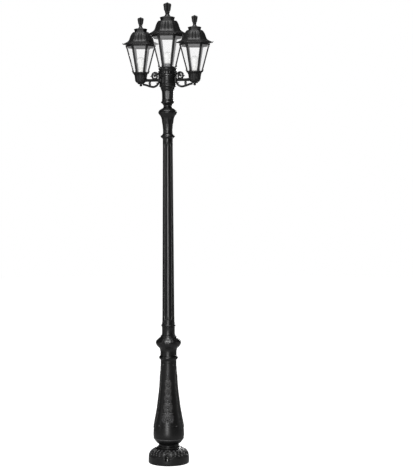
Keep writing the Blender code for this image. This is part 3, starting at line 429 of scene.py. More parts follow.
def softened(mesh, width=EDGE, segments=2, angle=30):
    """Round off the mesh's sharp edges."""
    target = bpy.data.objects.new(mesh.name + "_soft", mesh)
    bpy.context.scene.collection.objects.link(target)
    bevel = target.modifiers.new("bevel", "BEVEL")
    bevel.width = width
    bevel.segments = segments
    bevel.limit_method = "ANGLE"
    bevel.angle_limit = radians(angle)
    bevel.harden_normals = False
    return baked(target, mesh.name)


def piece(mesh, material, body, replaces=(), flat=False, angle=38):
    """Show a mesh as a piece that rides on a body."""
    made = bpy.data.objects.new(mesh.name, mesh)
    bpy.context.scene.collection.objects.link(made)
    mesh.materials.clear()
    mesh.materials.append(material)
    if not flat:
        mesh.shade_smooth()
        mesh.set_sharp_from_angle(angle=radians(angle))
    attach(made, body)
    if replaces:
        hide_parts(*replaces)
    return made


def repaint(node, material):
    """Give a CAD node that stays its procedural material."""
    slots = frame["nodes"][node].material_slots
    for slot in slots:
        slot.material = material
    if not slots:
        frame["nodes"][node].data.materials.append(material)


def centre_of(node):
    low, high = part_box(node)
    return (low + high) / 2


# ---- the column's skin and the door's plane -----------------------------------------

def skin_points():
    """Outer profile of the column from its foot ring to the neck above the upper ring."""
    low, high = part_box("base_column")
    foot = smooth([(0.0765, low.z), (0.0765, 0.1150), (0.0725, 0.1185), (0.0695, 0.1240),
                   (0.0720, 0.1330), (0.0780, 0.1390)], 4)
    bulb = smooth(mm(0, 0, (80, 139.2), (90, 149), (101.8, 167), (107.2, 190), (106.8, 218), (100, 268),
                     (90, 324), (79.8, 380), (72.5, 436), (65.5, 491), (60, 547), (57, 610), (55.5, 680),
                     (55.5, 720)), 5)
    ring = [(0.0562, 0.7250)] + arc(0.0520, 0.7390, 0.0140, -62, 62, 14) + [(0.0575, 0.7528)]
    return foot + bulb + ring + [(0.0567, 0.760), (0.0567, high.z)]


SKIN = skin_points()
SKIN_Z = np.array([height for radius, height in SKIN])
SKIN_R = np.array([radius for radius, height in SKIN])


def skin_radius(height):
    return np.interp(height, SKIN_Z, SKIN_R)


def door_plane():
    """Local +Z is the door's hinge axis, +Y runs up the facet, the origin is the pivot."""
    swing = JOINT["door_swing"]
    out = Vector(swing["axis"]).normalized()
    right = Vector((1, 0, 0))
    up = out.cross(right)
    turn = Matrix((right, up, out)).transposed().to_4x4()
    return Matrix.Translation(Vector(swing["pos_m"])) @ turn


PLANE = door_plane()


def skin_rise(plane, across, along, proud=0.0):
    """Height of the column's skin above a tangent plane, for arrays of points on the plane."""
    matrix = np.array(plane)
    low = np.full(across.shape, -0.03)
    high = np.full(across.shape, 0.12)
    for _ in range(34):
        middle = (low + high) / 2
        x = matrix[0, 0] * across + matrix[0, 1] * along + matrix[0, 2] * middle + matrix[0, 3]
        y = matrix[1, 0] * across + matrix[1, 1] * along + matrix[1, 2] * middle + matrix[1, 3]
        z = matrix[2, 0] * across + matrix[2, 1] * along + matrix[2, 2] * middle + matrix[2, 3]
        inside = np.hypot(x, y) < skin_radius(z) + proud
        low = np.where(inside, middle, low)
        high = np.where(inside, high, middle)
    return low


def door_outline():
    """Outline of the door about its pivot: an arc below, rounded corners, an arc above."""
    half = 0.066
    low_y = -sqrt(DOOR_REACH ** 2 - (half - DOOR_CORNER) ** 2)
    loop = arc(-half + DOOR_CORNER, low_y + DOOR_CORNER, DOOR_CORNER, 180, 270, 8)
    for step in range(1, 16):
        x = (half - DOOR_CORNER) * (step / 8 - 1)
        loop.append((x, -sqrt(DOOR_REACH ** 2 - x ** 2)))
    loop += arc(half - DOOR_CORNER, low_y + DOOR_CORNER, DOOR_CORNER, 270, 360, 8)
    start = acos(half / DOOR_CROWN) * 180 / pi
    return loop + arc(0, 0, DOOR_CROWN, start, 180 - start, 28)


def recess_outline():
    loop = arc(0, 0, DOOR_REACH + 0.0015, -114, -66, 30) + [(0.15, -0.02)]
    return loop + arc(0, 0, DOOR_CROWN + 0.003, 0, 180, 30) + [(-0.15, -0.02)]


def blind_outline():
    loop = arc(-0.032, -0.386, 0.020, 180, 262, 8) + arc(0.032, -0.386, 0.020, 278, 360, 8)
    return loop + arc(0, 0.020, 0.026, 0, 180, 20)


def rounded_slot(half, low, high, corner):
    loop = arc(half - corner, low + corner, corner, -90, 0, 6) + arc(half - corner, high - corner, corner,
                                                                     0, 90, 6)
    loop += arc(-half + corner, high - corner, corner, 90, 180, 6)
    return loop + arc(-half + corner, low + corner, corner, 180, 270, 6)


def slab(name, loop, low, high, plane):
    mesh = prism_mesh(name, [(x, y, low) for x, y in loop], [(x, y, high) for x, y in loop])
    return moved(mesh, plane)


def rod(name, radius, low, high, plane, steps=24):
    return moved(turned_mesh(name, [(0, low), (radius, low), (radius, high), (0, high)], steps), plane)


# ---- base ---------------------------------------------------------------------------

def tongues(count, low, high, rise, phase=0.0, rib=0.35):
    """Relief rule: a ring of leaves between two heights, each with a middle rib."""
    def reach(radius, height, angle):
        if not low < height < high:
            return radius
        share = (height - low) / (high - low)
        across = abs(((angle - phase) * count / tau + 0.5) % 1.0 - 0.5) * 2
        edge = 0.92 * sqrt(max(0.0, 1 - max(0.0, 1 - share * 2.2) ** 2)) * min(1.0, (1 - share) * 4 + 0.55)
        if across >= edge:
            return radius
        swell = sqrt(1 - (across / edge) ** 2) ** 0.7
        groove = rib * max(0.0, 1 - across / 0.16)
        return radius + rise * min(1.0, 4 * share + 0.2) * min(1.0, 6 * (1 - share)) * (swell - groove)
    return reach


def base_casting():
    """Stepped round base with a ring of leaves and an arched pocket over each anchor."""
    low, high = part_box("base_flange")
    rim = max(high.x, high.y)
    lip = [(0.052, low.z), (rim - 0.0026, low.z), (rim - 0.0004, 0.0025), (rim, 0.005), (rim, 0.030)]
    lip += [(rim - 0.0008, 0.0440)] + arc(rim - 0.0040, 0.0500, 0.0034, -10, 80, 6) + [(0.1384, 0.0540)]
    lip += arc(0.1362, 0.0590, 0.0036, -35, 95, 8)
    cone = smooth(mm(0, 0, (133, 64), (130.8, 70), (127.5, 75.6), (122.5, 80.8), (115, 86.6),
                     (106, 92.2), (96.5, 97.2), (90.5, 99.6)), 9)
    neck = arc(0.0862, 0.1008, 0.0030, -30, 100, 6) + [(0.0810, 0.1040), (0.0765, high.z)]
    inner = [(0.061, high.z), (0.061, 0.030), (0.052, 0.018)]
    leaves = tongues(20, 0.0640, 0.0996, 0.0034, radians(-90), 0.5)
    mesh = turned_mesh("base_casting", lip + cone + neck + inner, FINE * 2, leaves, hollow=True)
    cutters = []
    for index in range(3):
        turn = Matrix.Rotation(tau * index / 3, 4, "Z")
        spot = centre_of(f"anchor_bolt_{index + 1}")
        floor = 0.034
        loop = [(-0.017, floor)] + arc(0, floor + 0.030, 0.017, 180, 0, 15) + [(0.017, floor)]
        inner_y = -Vector((spot.x, spot.y)).length + 0.017
        near = [turn @ Vector((x, inner_y, z)) for x, z in loop]
        far = [turn @ Vector((x, -0.16, z)) for x, z in loop]
        cutters.append(prism_mesh(f"pocket_{index}", near, far))
    mesh = boolean(mesh, cutters)
    piece(mesh, CAST, "post", ["base_flange"], angle=50)
    hoods = []
    for index in range(3):
        turn = Matrix.Rotation(tau * index / 3, 4, "Z")
        arch = arc(0, 0.064, 0.0195, 185, -5, 18)
        path = [turn @ Vector((x, -0.1372 + 0.62 * max(0.0, z - 0.064), z)) for x, z in arch]
        hoods.append(hood_mesh(path, turn))
    # pale relief paint on the hoods: painted highlight
    piece(merged("pocket_hoods", hoods), RELIEF_PAINTED_HIGHLIGHT, "post")


def cast_leaf(length, wide, rise):
    """A pointed leaf with a sunk middle vein, lying on z = 0 and pointing to +X."""
    rows = 9
    across = (-1.0, -0.62, -0.22, 0.0, 0.22, 0.62, 1.0)
    points = []
    for row in range(rows):
        share = row / (rows - 1)
        half = wide * max(0.04, sin(pi * share) ** 0.8 * (1.15 - 0.45 * share))
        for place in across:
            dome = rise * (1 - place * place) * max(0.1, sin(pi * share)) ** 0.6
            vein = 0.45 * rise * max(0.0, 1 - abs(place) / 0.2)
            points.append(Vector((length * (share - 0.5), half * place, dome - vein)))
    under = [Vector((point.x, point.y, -LEAF_SUNK)) for point in points]
    return sheet_solid("leaf", points, under, rows, len(across))


def sheet_solid(name, top, under, rows, columns):
    """Closed solid between two grids of points with the same rows and columns."""
    count = rows * columns
    faces = []
    for row in range(rows - 1):
        for column in range(columns - 1):
            spot = row * columns + column
            quad = (spot, spot + 1, spot + columns + 1, spot + columns)
            faces.append(quad)
            faces.append(tuple(count + corner for corner in quad[::-1]))
    edge = list(range(columns))
    edge += [row * columns + columns - 1 for row in range(1, rows)]
    edge += [(rows - 1) * columns + column for column in range(columns - 2, -1, -1)]
    edge += [row * columns for row in range(rows - 2, 0, -1)]
    for start, end in zip(edge, edge[1:] + edge[:1]):
        faces.append((start, end, count + end, count + start))
    return mesh_of(name, top + under, faces)


def flange_leaves():
    """Rings of overlapping cast leaves over the base's sloping top."""
    leaves = []
    for row, (radius, height, count) in enumerate(FLANGE_ROWS):
        for index in range(count):
            angle = tau * (index + 0.5 * (row % 2)) / count
            gaps = [abs(((angle - pocket + pi) % tau) - pi) * radius for pocket in POCKET_TURNS]
            if min(gaps) < POCKET_CLEAR and radius > POCKET_INNER_R:
                continue
            skew = radians(24) * (1 if index % 2 else -1)
            leaf_shape = cast_leaf(0.0200, 0.0068, 0.0044)
            place = Matrix.Rotation(angle, 4, "Z") @ Matrix.Translation((radius, 0, height))
            place = place @ Matrix.Rotation(FLANGE_SLOPE, 4, "Y") @ Matrix.Rotation(skew, 4, "Z")
            leaves.append(moved(leaf_shape, place))
    # pale leaf paint on the base's top: painted highlight
    piece(merged("base_leaves", leaves), LEAFED_PAINTED_HIGHLIGHT, "post", angle=50)


def bulb_bead():
    """Fine step where the column's bulb turns under, in the pale leaf paint as a painted highlight line."""
    height = 0.172
    radius = float(skin_radius(height))
    outline = mm(radius, height, (-5, -5), (0.6, -3.4), (3, -0.6))
    outline += mm(radius, height, (3, 0.6), (1.6, 2.6), (-3, 4))
    piece(turned_mesh("bulb_bead", outline, FINE, hollow=True), LEAFED_PAINTED_HIGHLIGHT, "post")


def hood_mesh(path, turn):
    """A raised rounded moulding around a pocket's arch."""
    side_way = turn @ Vector((0, -1, 0))
    points = []
    sides = 8
    for index, spot in enumerate(path):
        along = (path[min(index + 1, len(path) - 1)] - path[max(index - 1, 0)]).normalized()
        other = along.cross(side_way).normalized()
        out = other.cross(along).normalized()
        for side in range(sides):
            angle = tau * side / sides
            points.append(spot + other * cos(angle) * 0.0026 + out * sin(angle) * 0.0034)
    faces = []
    for index in range(len(path) - 1):
        for side in range(sides):
            after = (side + 1) % sides
            near = index * sides
            faces.append((near + side, near + after, near + sides + after, near + sides + side))
    faces += [tuple(range(sides)), tuple(range(len(points) - sides, len(points)))]
    return mesh_of("hood", points, faces)


def anchor_bolts():
    """Threaded stud, chamfered nut and washer of each ground anchor."""
    for index in range(3):
        node = f"anchor_bolt_{index + 1}"
        low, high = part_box(node)
        spot = centre_of(node)
        seat = high.z - 0.023
        stud = [(0, low.z), (0.0058, low.z)]
        pitch = 0.00175
        for step in range(int((high.z - 0.0015 - low.z) / pitch)):
            stud += [(0.0060, low.z + pitch * (step + 0.3)), (0.0052, low.z + pitch * (step + 0.8))]
        stud += mm(0, high.z, (5, -0.4), (4, 0), (0, 0))
        washer = mm(0, seat, (6.2, 0), (11.7, 0), (12, 0.3), (12, 2.2), (11.7, 2.5), (6.2, 2.5))
        nut = nut_mesh("nut", 0.0062, 0.0105, seat + 0.0026, seat + 0.0125)
        parts = [turned_mesh("stud", stud, 28), turned_mesh("washer", washer, SMALL, hollow=True), nut]
        mesh = moved(merged(f"anchor_{index + 1}", parts), Matrix.Translation((spot.x, spot.y, 0)))
        piece(mesh, ZINC, "post", [node])


def nut_mesh(name, bore, corner, low, high):
    """Hexagonal nut whose corners are chamfered at both ends."""
    def hexed(radius, height, angle):
        if radius < corner * 0.8:
            return radius
        face = corner * cos(pi / 6) / cos((angle + pi / 6) % (pi / 3) - pi / 6)
        return min(radius, face)
    flat = corner * cos(pi / 6)
    outline = [(bore, low), (flat, low), (corner, low + 0.0013), (corner, high - 0.0013), (flat, high),
               (bore, high)]
    return turned_mesh(name, outline, 48, hexed, hollow=True)


# ---- column and door ----------------------------------------------------------------

def column_casting():
    """Bulb-shaped column with the door's facet, the hand hole and three blind panels."""
    low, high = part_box("base_column")
    inner = [(0.062, low.z), (0.062, 0.133)]
    inner += [(radius - COLUMN_WALL, height) for radius, height in SKIN if 0.145 < height < 0.700][::4]
    inner += [(0.0480, 0.714), (0.0480, high.z)]
    mesh = turned_mesh("column_casting", SKIN + inner[::-1], FINE, hollow=True)
    band = [(radius, height) for radius, height in SKIN if 0.170 < height < 0.700][::2]
    for index in range(3):
        plane = Matrix.Rotation(radians(90) * (index + 1), 4, "Z") @ PLANE
        rim = [(r + 0.0014, z) for r, z in band] + [(r - 0.004, z) for r, z in band[::-1]]
        raised = turned_mesh(f"blind_panel_{index}", rim, FINE, hollow=True)
        keep = slab(f"blind_outline_{index}", blind_outline(), -0.03, 0.12, plane)
        mesh = boolean(mesh, [boolean(raised, [keep], "INTERSECT")], "UNION")
    room = [(0.0, 0.236)]
    room += [(r - COLUMN_WALL + 0.002, z) for r, z in SKIN if 0.238 < z < 0.700][::3] + [(0.0, 0.699)]
    backing = slab("facet_backing", rounded_slot(0.045, -0.372, 0.050, 0.012), -0.007, 0.003, PLANE)
    backing = boolean(backing, [turned_mesh("backing_room", room, FINE)], "INTERSECT")
    mesh = boolean(mesh, [backing], "UNION")
    hatch = rounded_slot(HATCH_HALF, -HATCH_BOTTOM, -HATCH_TOP, 0.008)
    cutters = [
        slab("recess", recess_outline(), 0.0, 0.14, PLANE),
        slab("hatch", hatch, -0.040, 0.02, PLANE),
        rod("pivot_bore", 0.0033, -0.030, 0.02, PLANE),
        rod("insert_bore", 0.0063, -0.030, 0.02, PLANE @ Matrix.Translation((0, -SCREW_DROP, 0))),
    ]
    for cutter in cutters:
        mesh = boolean(mesh, [cutter])
    piece(mesh, CAST, "post", ["base_column"])


def door_cover():
    """Shell door that follows the column's skin, with its two screw bosses."""
    outer = [(0.0, 0.250)] + [(r + DOOR_PROUD, z) for r, z in SKIN if 0.252 < z < 0.715] + [(0.0, 0.716)]
    hollow = [(0.0, 0.230)]
    hollow += [(r + DOOR_PROUD - DOOR_SKIN, z) for r, z in SKIN if 0.232 < z < 0.719] + [(0.0, 0.735)]
    mesh = turned_mesh("door_cover", outer, FINE * 2)
    mesh = boolean(mesh, [slab("door_blank", door_outline(), 0.0015, 0.12, PLANE)], "INTERSECT")
    mesh = boolean(mesh, [turned_mesh("door_hollow", hollow, FINE * 2)])
    for drop in (0.0, SCREW_DROP):
        rise = float(skin_rise(PLANE, np.array([0.0]), np.array([-drop]), DOOR_PROUD)[0])
        place = PLANE @ Matrix.Translation((0, -drop, 0))
        mesh = boolean(mesh, [rod("boss", 0.0075, 0.0017, rise - 0.0021, place)], "UNION")
        mesh = boolean(mesh, [rod("boss_bore", 0.0034, -0.0104, 0.0607, place)])
    piece(mesh, CAST, "access_door", ["access_door"])


def stroke(points, widths):
    """A relief stroke: a dense run of points, each with its own half width."""
    path = smooth(points, 14)
    wide = np.interp(np.linspace(0, 1, len(path)), np.linspace(0, 1, len(widths)), widths)
    return np.array(path), wide


def leaf(x, y, angle, length, width, bend=0.0):
    """A pointed leaf from (x, y); angle from straight up, positive to +X."""
    points = []
    for share in (0.0, 0.25, 0.5, 0.75, 1.0):
        way = radians(angle + bend * share)
        points.append((x + length * share * sin(way), y + length * share * cos(way)))
    return stroke(points, [0.25 * width, 0.85 * width, width, 0.62 * width, 0.08 * width])


def volute(x, y, size, side, turns=1.35):
    """A scroll that leaves (x, y), goes out to one side and curls in on itself."""
    points = []
    for step in range(20):
        share = step / 19
        angle = radians(-100) + turns * tau * share
        radius = size * (1 - 0.80 * share)
        points.append((x + side * (size * 0.95 + radius * cos(angle)),
                       y + size * 0.7 + radius * sin(angle)))
    return stroke(points, [0.24 * size, 0.30 * size, 0.25 * size, 0.36 * size])


def foliage(low, high, half_at):
    """Stacked palmettes and volutes on a middle stem, as strokes between two heights."""
    strokes = [stroke([(0, low + 0.004), (0, (low + high) / 2), (0, high)], [0.0046, 0.0038, 0.0030])]
    y = low + 0.010
    while y < high - 0.034:
        half = min(half_at(y), 0.052)
        size = 0.40 * half
        for side in (-1, 1):
            strokes.append(volute(0, y, size, side))
            strokes.append(leaf(side * size * 0.5, y + size * 1.5, side * 62, half * 0.62, half * 0.22,
                                side * 30))
            strokes.append(leaf(0, y + size * 1.5, side * 30, half * 0.86, half * 0.22, side * 26))
            strokes.append(leaf(side * half * 0.30, y - half * 0.02, side * 112, half * 0.60, half * 0.20,
                                side * 34))
        strokes.append(leaf(0, y + size * 1.9, 0, half * 0.78, half * 0.24))
        y += 1.62 * half
    return strokes


def foliage_mesh(name, plane, low, high, half_at, proud, cell=0.0016, margin=0.0):
    """Cast foliage on the column's skin: a closed skin over every stroke."""
    strokes = foliage(low, high, half_at)
    wide = max(half_at(y) for y in np.linspace(low, high, 9))
    xs = np.arange(-wide, wide + cell, cell)
    ys = np.arange(low, high + cell, cell)
    across, along = np.meshgrid(xs, ys)
    relief = np.zeros(across.shape)
    for path, widths in strokes:
        for (px, py), width in zip(path, widths):
            near = 1 - ((across - px) ** 2 + (along - py) ** 2) / width ** 2
            relief = np.maximum(relief, np.sqrt(np.maximum(near, 0.0)) * min(1.0, width / 0.0022))
    limit = np.array([half_at(y) - margin for y in ys])[:, None]
    relief[np.abs(across) > limit] = 0.0
    base = skin_rise(plane, across, along, proud)
    live = relief > 0.02
    used = np.zeros(across.shape, bool)
    quads = live[:-1, :-1] | live[1:, :-1] | live[:-1, 1:] | live[1:, 1:]
    inside = np.abs(across) <= limit
    quads &= inside[:-1, :-1] & inside[1:, :-1] & inside[:-1, 1:] & inside[1:, 1:]
    for dy in (0, 1):
        for dx in (0, 1):
            used[dy:used.shape[0] - 1 + dy, dx:used.shape[1] - 1 + dx] |= quads
    index = -np.ones(used.shape, int)
    index[used] = np.arange(used.sum())
    count = int(used.sum())
    top = np.stack([across[used], along[used], (base - LEAF_ROOT * 0.3 + LEAF_RISE * relief)[used]], 1)
    root = np.stack([across[used], along[used], (base - LEAF_ROOT * 1.6)[used]], 1)
    faces = []
    edges = {}
    for row, column in zip(*np.nonzero(quads)):
        corners = (index[row, column], index[row, column + 1], index[row + 1, column + 1],
                   index[row + 1, column])
        faces.append(corners)
        faces.append(tuple(count + corner for corner in corners[::-1]))
        for start, end in zip(corners, corners[1:] + corners[:1]):
            if (end, start) in edges:
                del edges[(end, start)]
            else:
                edges[(start, end)] = True
    for start, end in edges:
        faces.append((end, start, count + start, count + end))
    mesh = bpy.data.meshes.new(name)
    mesh.from_pydata(np.concatenate([top, root]).tolist(), [],
                     [tuple(int(i) for i in face) for face in faces])
    work = bmesh.new()
    work.from_mesh(mesh)
    bmesh.ops.recalc_face_normals(work, faces=work.faces)
    work.to_mesh(mesh)
    work.free()
    return moved(mesh, plane)


def door_half(y):
    """Half the door's width at a height on its plane."""
    point = PLANE @ Vector((0, y, 0))
    return sqrt(max(0.0, float(skin_radius(point.z)) ** 2 - point.y ** 2))


def door_foliage():
    cell = 0.0014
    mesh = foliage_mesh("door_foliage", PLANE, -0.338, -0.012, lambda y: door_half(y) * 0.90, DOOR_PROUD,
                        cell)
    # pale relief paint on the door's foliage: painted highlight
    piece(mesh, RELIEF_PAINTED_HIGHLIGHT, "access_door", angle=60)


def panel_foliage():
    cell = 0.0018
    for index, side in enumerate(("right", "back", "left")):
        plane = Matrix.Rotation(radians(90) * (index + 1), 4, "Z") @ PLANE
        mesh = foliage_mesh(f"panel_foliage_{side}", plane, -0.384, 0.010,
                            lambda y: 0.021 + 0.022 * min(1.0, max(0.0, -y / 0.384)), 0.0014, cell)
        # pale relief paint on the panels' foliage: painted highlight
        piece(mesh, RELIEF_PAINTED_HIGHLIGHT, "post", angle=60)


def screw_head(name, node, body, place, tip, rise):
    """Round-headed screw with a slotted head and a bevelled rim."""
    low = rise + 0.0012
    outline = [(0, tip), (0.0024, tip), (0.0030, tip + 0.0006), (0.0030, low), (0.0060, low)]
    outline += [(0.0062, low + 0.0003), (0.0062, low + 0.0018)] + arc(0.0028, low + 0.0012, 0.0034, 10, 90,
                                                                      8)
    mesh = turned_mesh(name, outline + [(0, low + 0.0046)], SMALL)
    loop = mm(0, 0, (-8, -0.7), (8, -0.7), (8, 0.7), (-8, 0.7))
    slot = prism_mesh("slot", [(x, y, low + 0.0030) for x, y in loop],
                      [(x, y, low + 0.0070) for x, y in loop])
    mesh = moved(boolean(mesh, [slot]), place)
    piece(mesh, DARK_STEEL, body, [node])


def door_screws():
    for name, node, body, drop, tip in (("pivot_screw", "door_pivot_screw", "post", 0.0, -0.0105),
                                        ("captive_screw", "door_captive_screw", "door_captive_screw",
                                         SCREW_DROP, 0.0010)):
        rise = float(skin_rise(PLANE, np.array([0.0]), np.array([-drop]), DOOR_PROUD)[0])
        screw_head(name, node, body, PLANE @ Matrix.Translation((0, -drop, 0)), tip, rise)


# ---- post ---------------------------------------------------------------------------

def knop_casting():
    """Swelling collar with eight broad leaves on its shoulder and on its underside."""
    low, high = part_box("knop")
    outer = smooth(mm(0, low.z, (57.5, 0), (59.2, 10), (65, 22), (77, 35), (84.5, 48), (88.4, 57.5),
                      (88.4, 61), (84.5, 69), (76.5, 78), (66.5, 87), (56, 97)), 7)
    outer += arc(0.0505, high.z - 0.0085, 0.0040, -20, 90, 5) + [(0.0475, high.z - 0.0040),
                                                                 (0.0475, high.z)]
    under = tongues(8, low.z + 0.016, low.z + 0.056, 0.0018, radians(-90))
    over = tongues(8, -(low.z + 0.097), -(low.z + 0.062), 0.0026, radians(-67.5), 0.5)

    def reach(radius, height, angle):
        if radius < 0.05:
            return radius
        return max(under(radius, height, angle), over(radius, -height, angle))
    inner = [(0.0325, high.z), (0.0325, low.z)]
    mesh = turned_mesh("knop_casting", outer + inner, FINE * 2, reach, hollow=True)
    piece(mesh, CAST, "post", ["knop"], angle=60)


def collar_casting():
    low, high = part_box("lower_collar")
    mid = low.z + 0.066
    outer = mm(0, low.z, (45.5, 0), (46.2, 3), (45.5, 6), (44.5, 10))
    outer += mm(0, mid, (44.5, -16), (46, -12), (46, -9), (44.6, -7.5))
    outer += arc(0.0444, mid, 0.0060, -80, 80, 12) + [(0.0446, mid + 0.0072), (0.0452, mid + 0.0105)]
    outer += [(0.0442, mid + 0.0140), (0.0435, high.z)]
    mesh = turned_mesh("collar_casting", outer + [(TUBE_ROOM, high.z), (TUBE_ROOM, low.z)], FINE,
                       hollow=True)
    piece(softened(mesh, 0.0004), CAST, "post", ["lower_collar"])


def shaft_sleeve():
    """Tapered sleeve with scalloped flutes that end in rounded points."""
    low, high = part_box("fluted_shaft")
    big = (high.x - low.x) / 2
    small = 0.0345
    count = 12

    def taper(height):
        return big + (small - big) * (height - low.z) / (high.z - low.z)

    def reach(radius, height, angle):
        if radius < 0.030:
            return radius
        across = abs((angle * count / tau + 0.5) % 1.0 - 0.5) * 2
        from_end = min(height - low.z - 0.018, high.z - 0.030 - height)
        wide = 0.90 * sqrt(max(0.0, min(1.0, from_end / 0.032)))
        if wide < 0.02 or across >= wide:
            return radius
        return radius - 0.0034 * sqrt(1 - (across / wide) ** 2)
    ends = [0.0, 0.0175] + [0.0185 + 0.0034 * step for step in range(11)]
    heights = [low.z + step for step in ends]
    heights += [low.z + 0.10 + (high.z - low.z - 0.21) * step / 10 for step in range(11)]
    heights += [high.z - 0.0300 - 0.0034 * step for step in range(10, -1, -1)] + [high.z - 0.011, high.z]
    outer = [(taper(height), height) for height in heights]
    mesh = turned_mesh("shaft_sleeve", outer + [(TUBE_ROOM, high.z), (TUBE_ROOM, low.z)], count * 20,
                       reach, hollow=True)
    piece(mesh, POST, "post", ["fluted_shaft"], angle=50)


def upper_ring_casting():
    low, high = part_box("upper_ring")
    mid = low.z + 0.0142
    outer = mm(0, low.z, (37, 0), (39.5, 2.2), (40, 4.5))
    outer += arc(0.0403, mid, 0.0090, -76, 76, 14) + [(0.0398, mid + 0.0098), (0.0385, mid + 0.0118)]
    outer += smooth([(0.0365, mid + 0.0135), (0.0348, mid + 0.0170), (0.0335, high.z)], 4)
    mesh = turned_mesh("upper_ring_casting", outer + [(TUBE_ROOM, high.z), (TUBE_ROOM, low.z)], FINE,
                       hollow=True)
    piece(mesh, CAST, "post", ["upper_ring"])


def capital_casting():
    """Vase-shaped capital with eight upright leaves that curl over its widest part."""
    low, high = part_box("capital")
    z = low.z
    vase = smooth(mm(0, z, (33, 0), (33, 30), (35, 58), (37.5, 86), (40.5, 103), (46.5, 117), (56, 129),
                     (62, 139), (62.4, 147), (58, 155), (46.5, 164), (34.5, 172)), 7)
    waist = smooth(mm(0, z, (31, 174.5), (29, 182), (29, 190), (34, 197.5)), 5)
    bead = [(0.0375, z + 0.2030)] + arc(0.0385, high.z - 0.0080, 0.0076, -70, 80, 12)
    leaves = tongues(8, z + 0.052, z + 0.152, 0.0030, radians(-90), 0.5)
    small = tongues(8, z + 0.020, z + 0.110, 0.0016, radians(-67.5), 0.4)
    fringe = tongues(16, -(z + 0.172), -(z + 0.150), 0.0018, radians(-90))

    def reach(radius, height, angle):
        if radius < 0.030:
            return radius
        return max(leaves(radius, height, angle), small(radius, height, angle),
                   fringe(radius, -height, angle))
    outer = vase + waist + bead + [(0.0380, high.z)]
    mesh = turned_mesh("capital_casting", outer + [(TUBE_ROOM, high.z), (TUBE_ROOM, z)], FINE * 2, reach,
                       hollow=True)
    piece(mesh, CAST, "post", ["capital"], angle=60)


def neck_casting():
    """Neck under the hub with eight hollow facets."""
    low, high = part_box("hub_neck")
    z = low.z

    def reach(radius, height, angle):
        if radius < 0.030:
            return radius
        across = abs(((angle + pi / 2) * 8 / tau + 0.5) % 1.0 - 0.5) * 2
        room = min(height - z - 0.006, high.z - 0.016 - height) / 0.010
        wide = 0.86 * sqrt(max(0.0, min(1.0, room)))
        if wide < 0.02 or across >= wide:
            return radius
        return radius - 0.0030 * sqrt(1 - (across / wide) ** 2)
    outer = smooth([(0.0390, z), (0.0395, z + 0.010), (0.0402, z + 0.035), (0.0415, z + 0.060),
                    (0.0440, z + 0.075), (0.0470, z + 0.083), (0.0500, high.z)], 8)
    mesh = turned_mesh("neck_casting", outer + [(TUBE_ROOM, high.z), (TUBE_ROOM, z)], FINE * 2, reach,
                       hollow=True)
    piece(mesh, CAST, "post", ["hub_neck"], angle=60)


def hub_casting():
    """Moulded boss for the arms; its flared top seats the centre lantern."""
    low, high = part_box("arm_hub")
    z = low.z
    flange = [(0.0510, z), (0.0540, z + 0.0020)] + arc(0.0545, z + 0.0085, 0.0040, -70, 80, 8)
    drum = mm(0, z, (55.2, 15), (57.2, 17.5), (57.2, 20.5), (54.5, 24))
    drum += mm(0, z, (53.8, 30), (53.8, 65), (54.8, 69), (56, 72))
    drum += arc(0.0530, z + 0.0800, 0.0042, -80, 80, 8) + [(0.0522, z + 0.0880)]
    bell = smooth(mm(0, z, (52, 90), (52.2, 104), (54.5, 113), (60, 121), (62.8, 126.5)), 6)
    inner = [(0.0575, high.z), (0.0575, z + 0.1275), (0.046, z + 0.1075), (0.046, z + 0.0555)]
    inner += [(TUBE_ROOM, z + 0.0405), (TUBE_ROOM, z)]
    outline = flange + drum + bell + [(0.0630, high.z)] + inner
    leaves = tongues(12, z + 0.090, z + 0.1262, 0.0018, radians(-90))

    def reach(radius, height, angle):
        return radius if radius < 0.0515 else leaves(radius, height, angle)
    mesh = turned_mesh("hub_casting", outline, FINE * 2, reach, hollow=True)
    piece(mesh, CAST, "post", ["arm_hub"], angle=50)
    studs = []
    for turn in (-90, 30, 90, 210):
        angle = radians(turn)
        place = Matrix.Translation((0.0536 * cos(angle), 0.0536 * sin(angle), z + 0.0475))
        place = place @ Matrix.Rotation(angle, 4, "Z") @ Matrix.Rotation(radians(90), 4, "Y")
        rose = mm(0, 0, (0, -1), (9.8, -1), (9.8, 1.2), (8.5, 2.6), (6.2, 2.2))
        rose += [(0.0048, 0.0038), (0.0, 0.0050)]
        studs.append(moved(turned_mesh("rose", rose, SMALL), place))
    # pale relief paint on the roses: painted highlight
    piece(merged("hub_roses", studs), RELIEF_PAINTED_HIGHLIGHT, "post")


# ---- arms ---------------------------------------------------------------------------

def spiral(centre_u, centre_z, start_r, end_r, start, end, count):
    path = []
    for step in range(count + 1):
        share = step / count
        angle = radians(start + (end - start) * share)
        radius = start_r + (end_r - start_r) * share
        path.append((centre_u + radius * cos(angle), 0.0, centre_z + radius * sin(angle)))
    return path


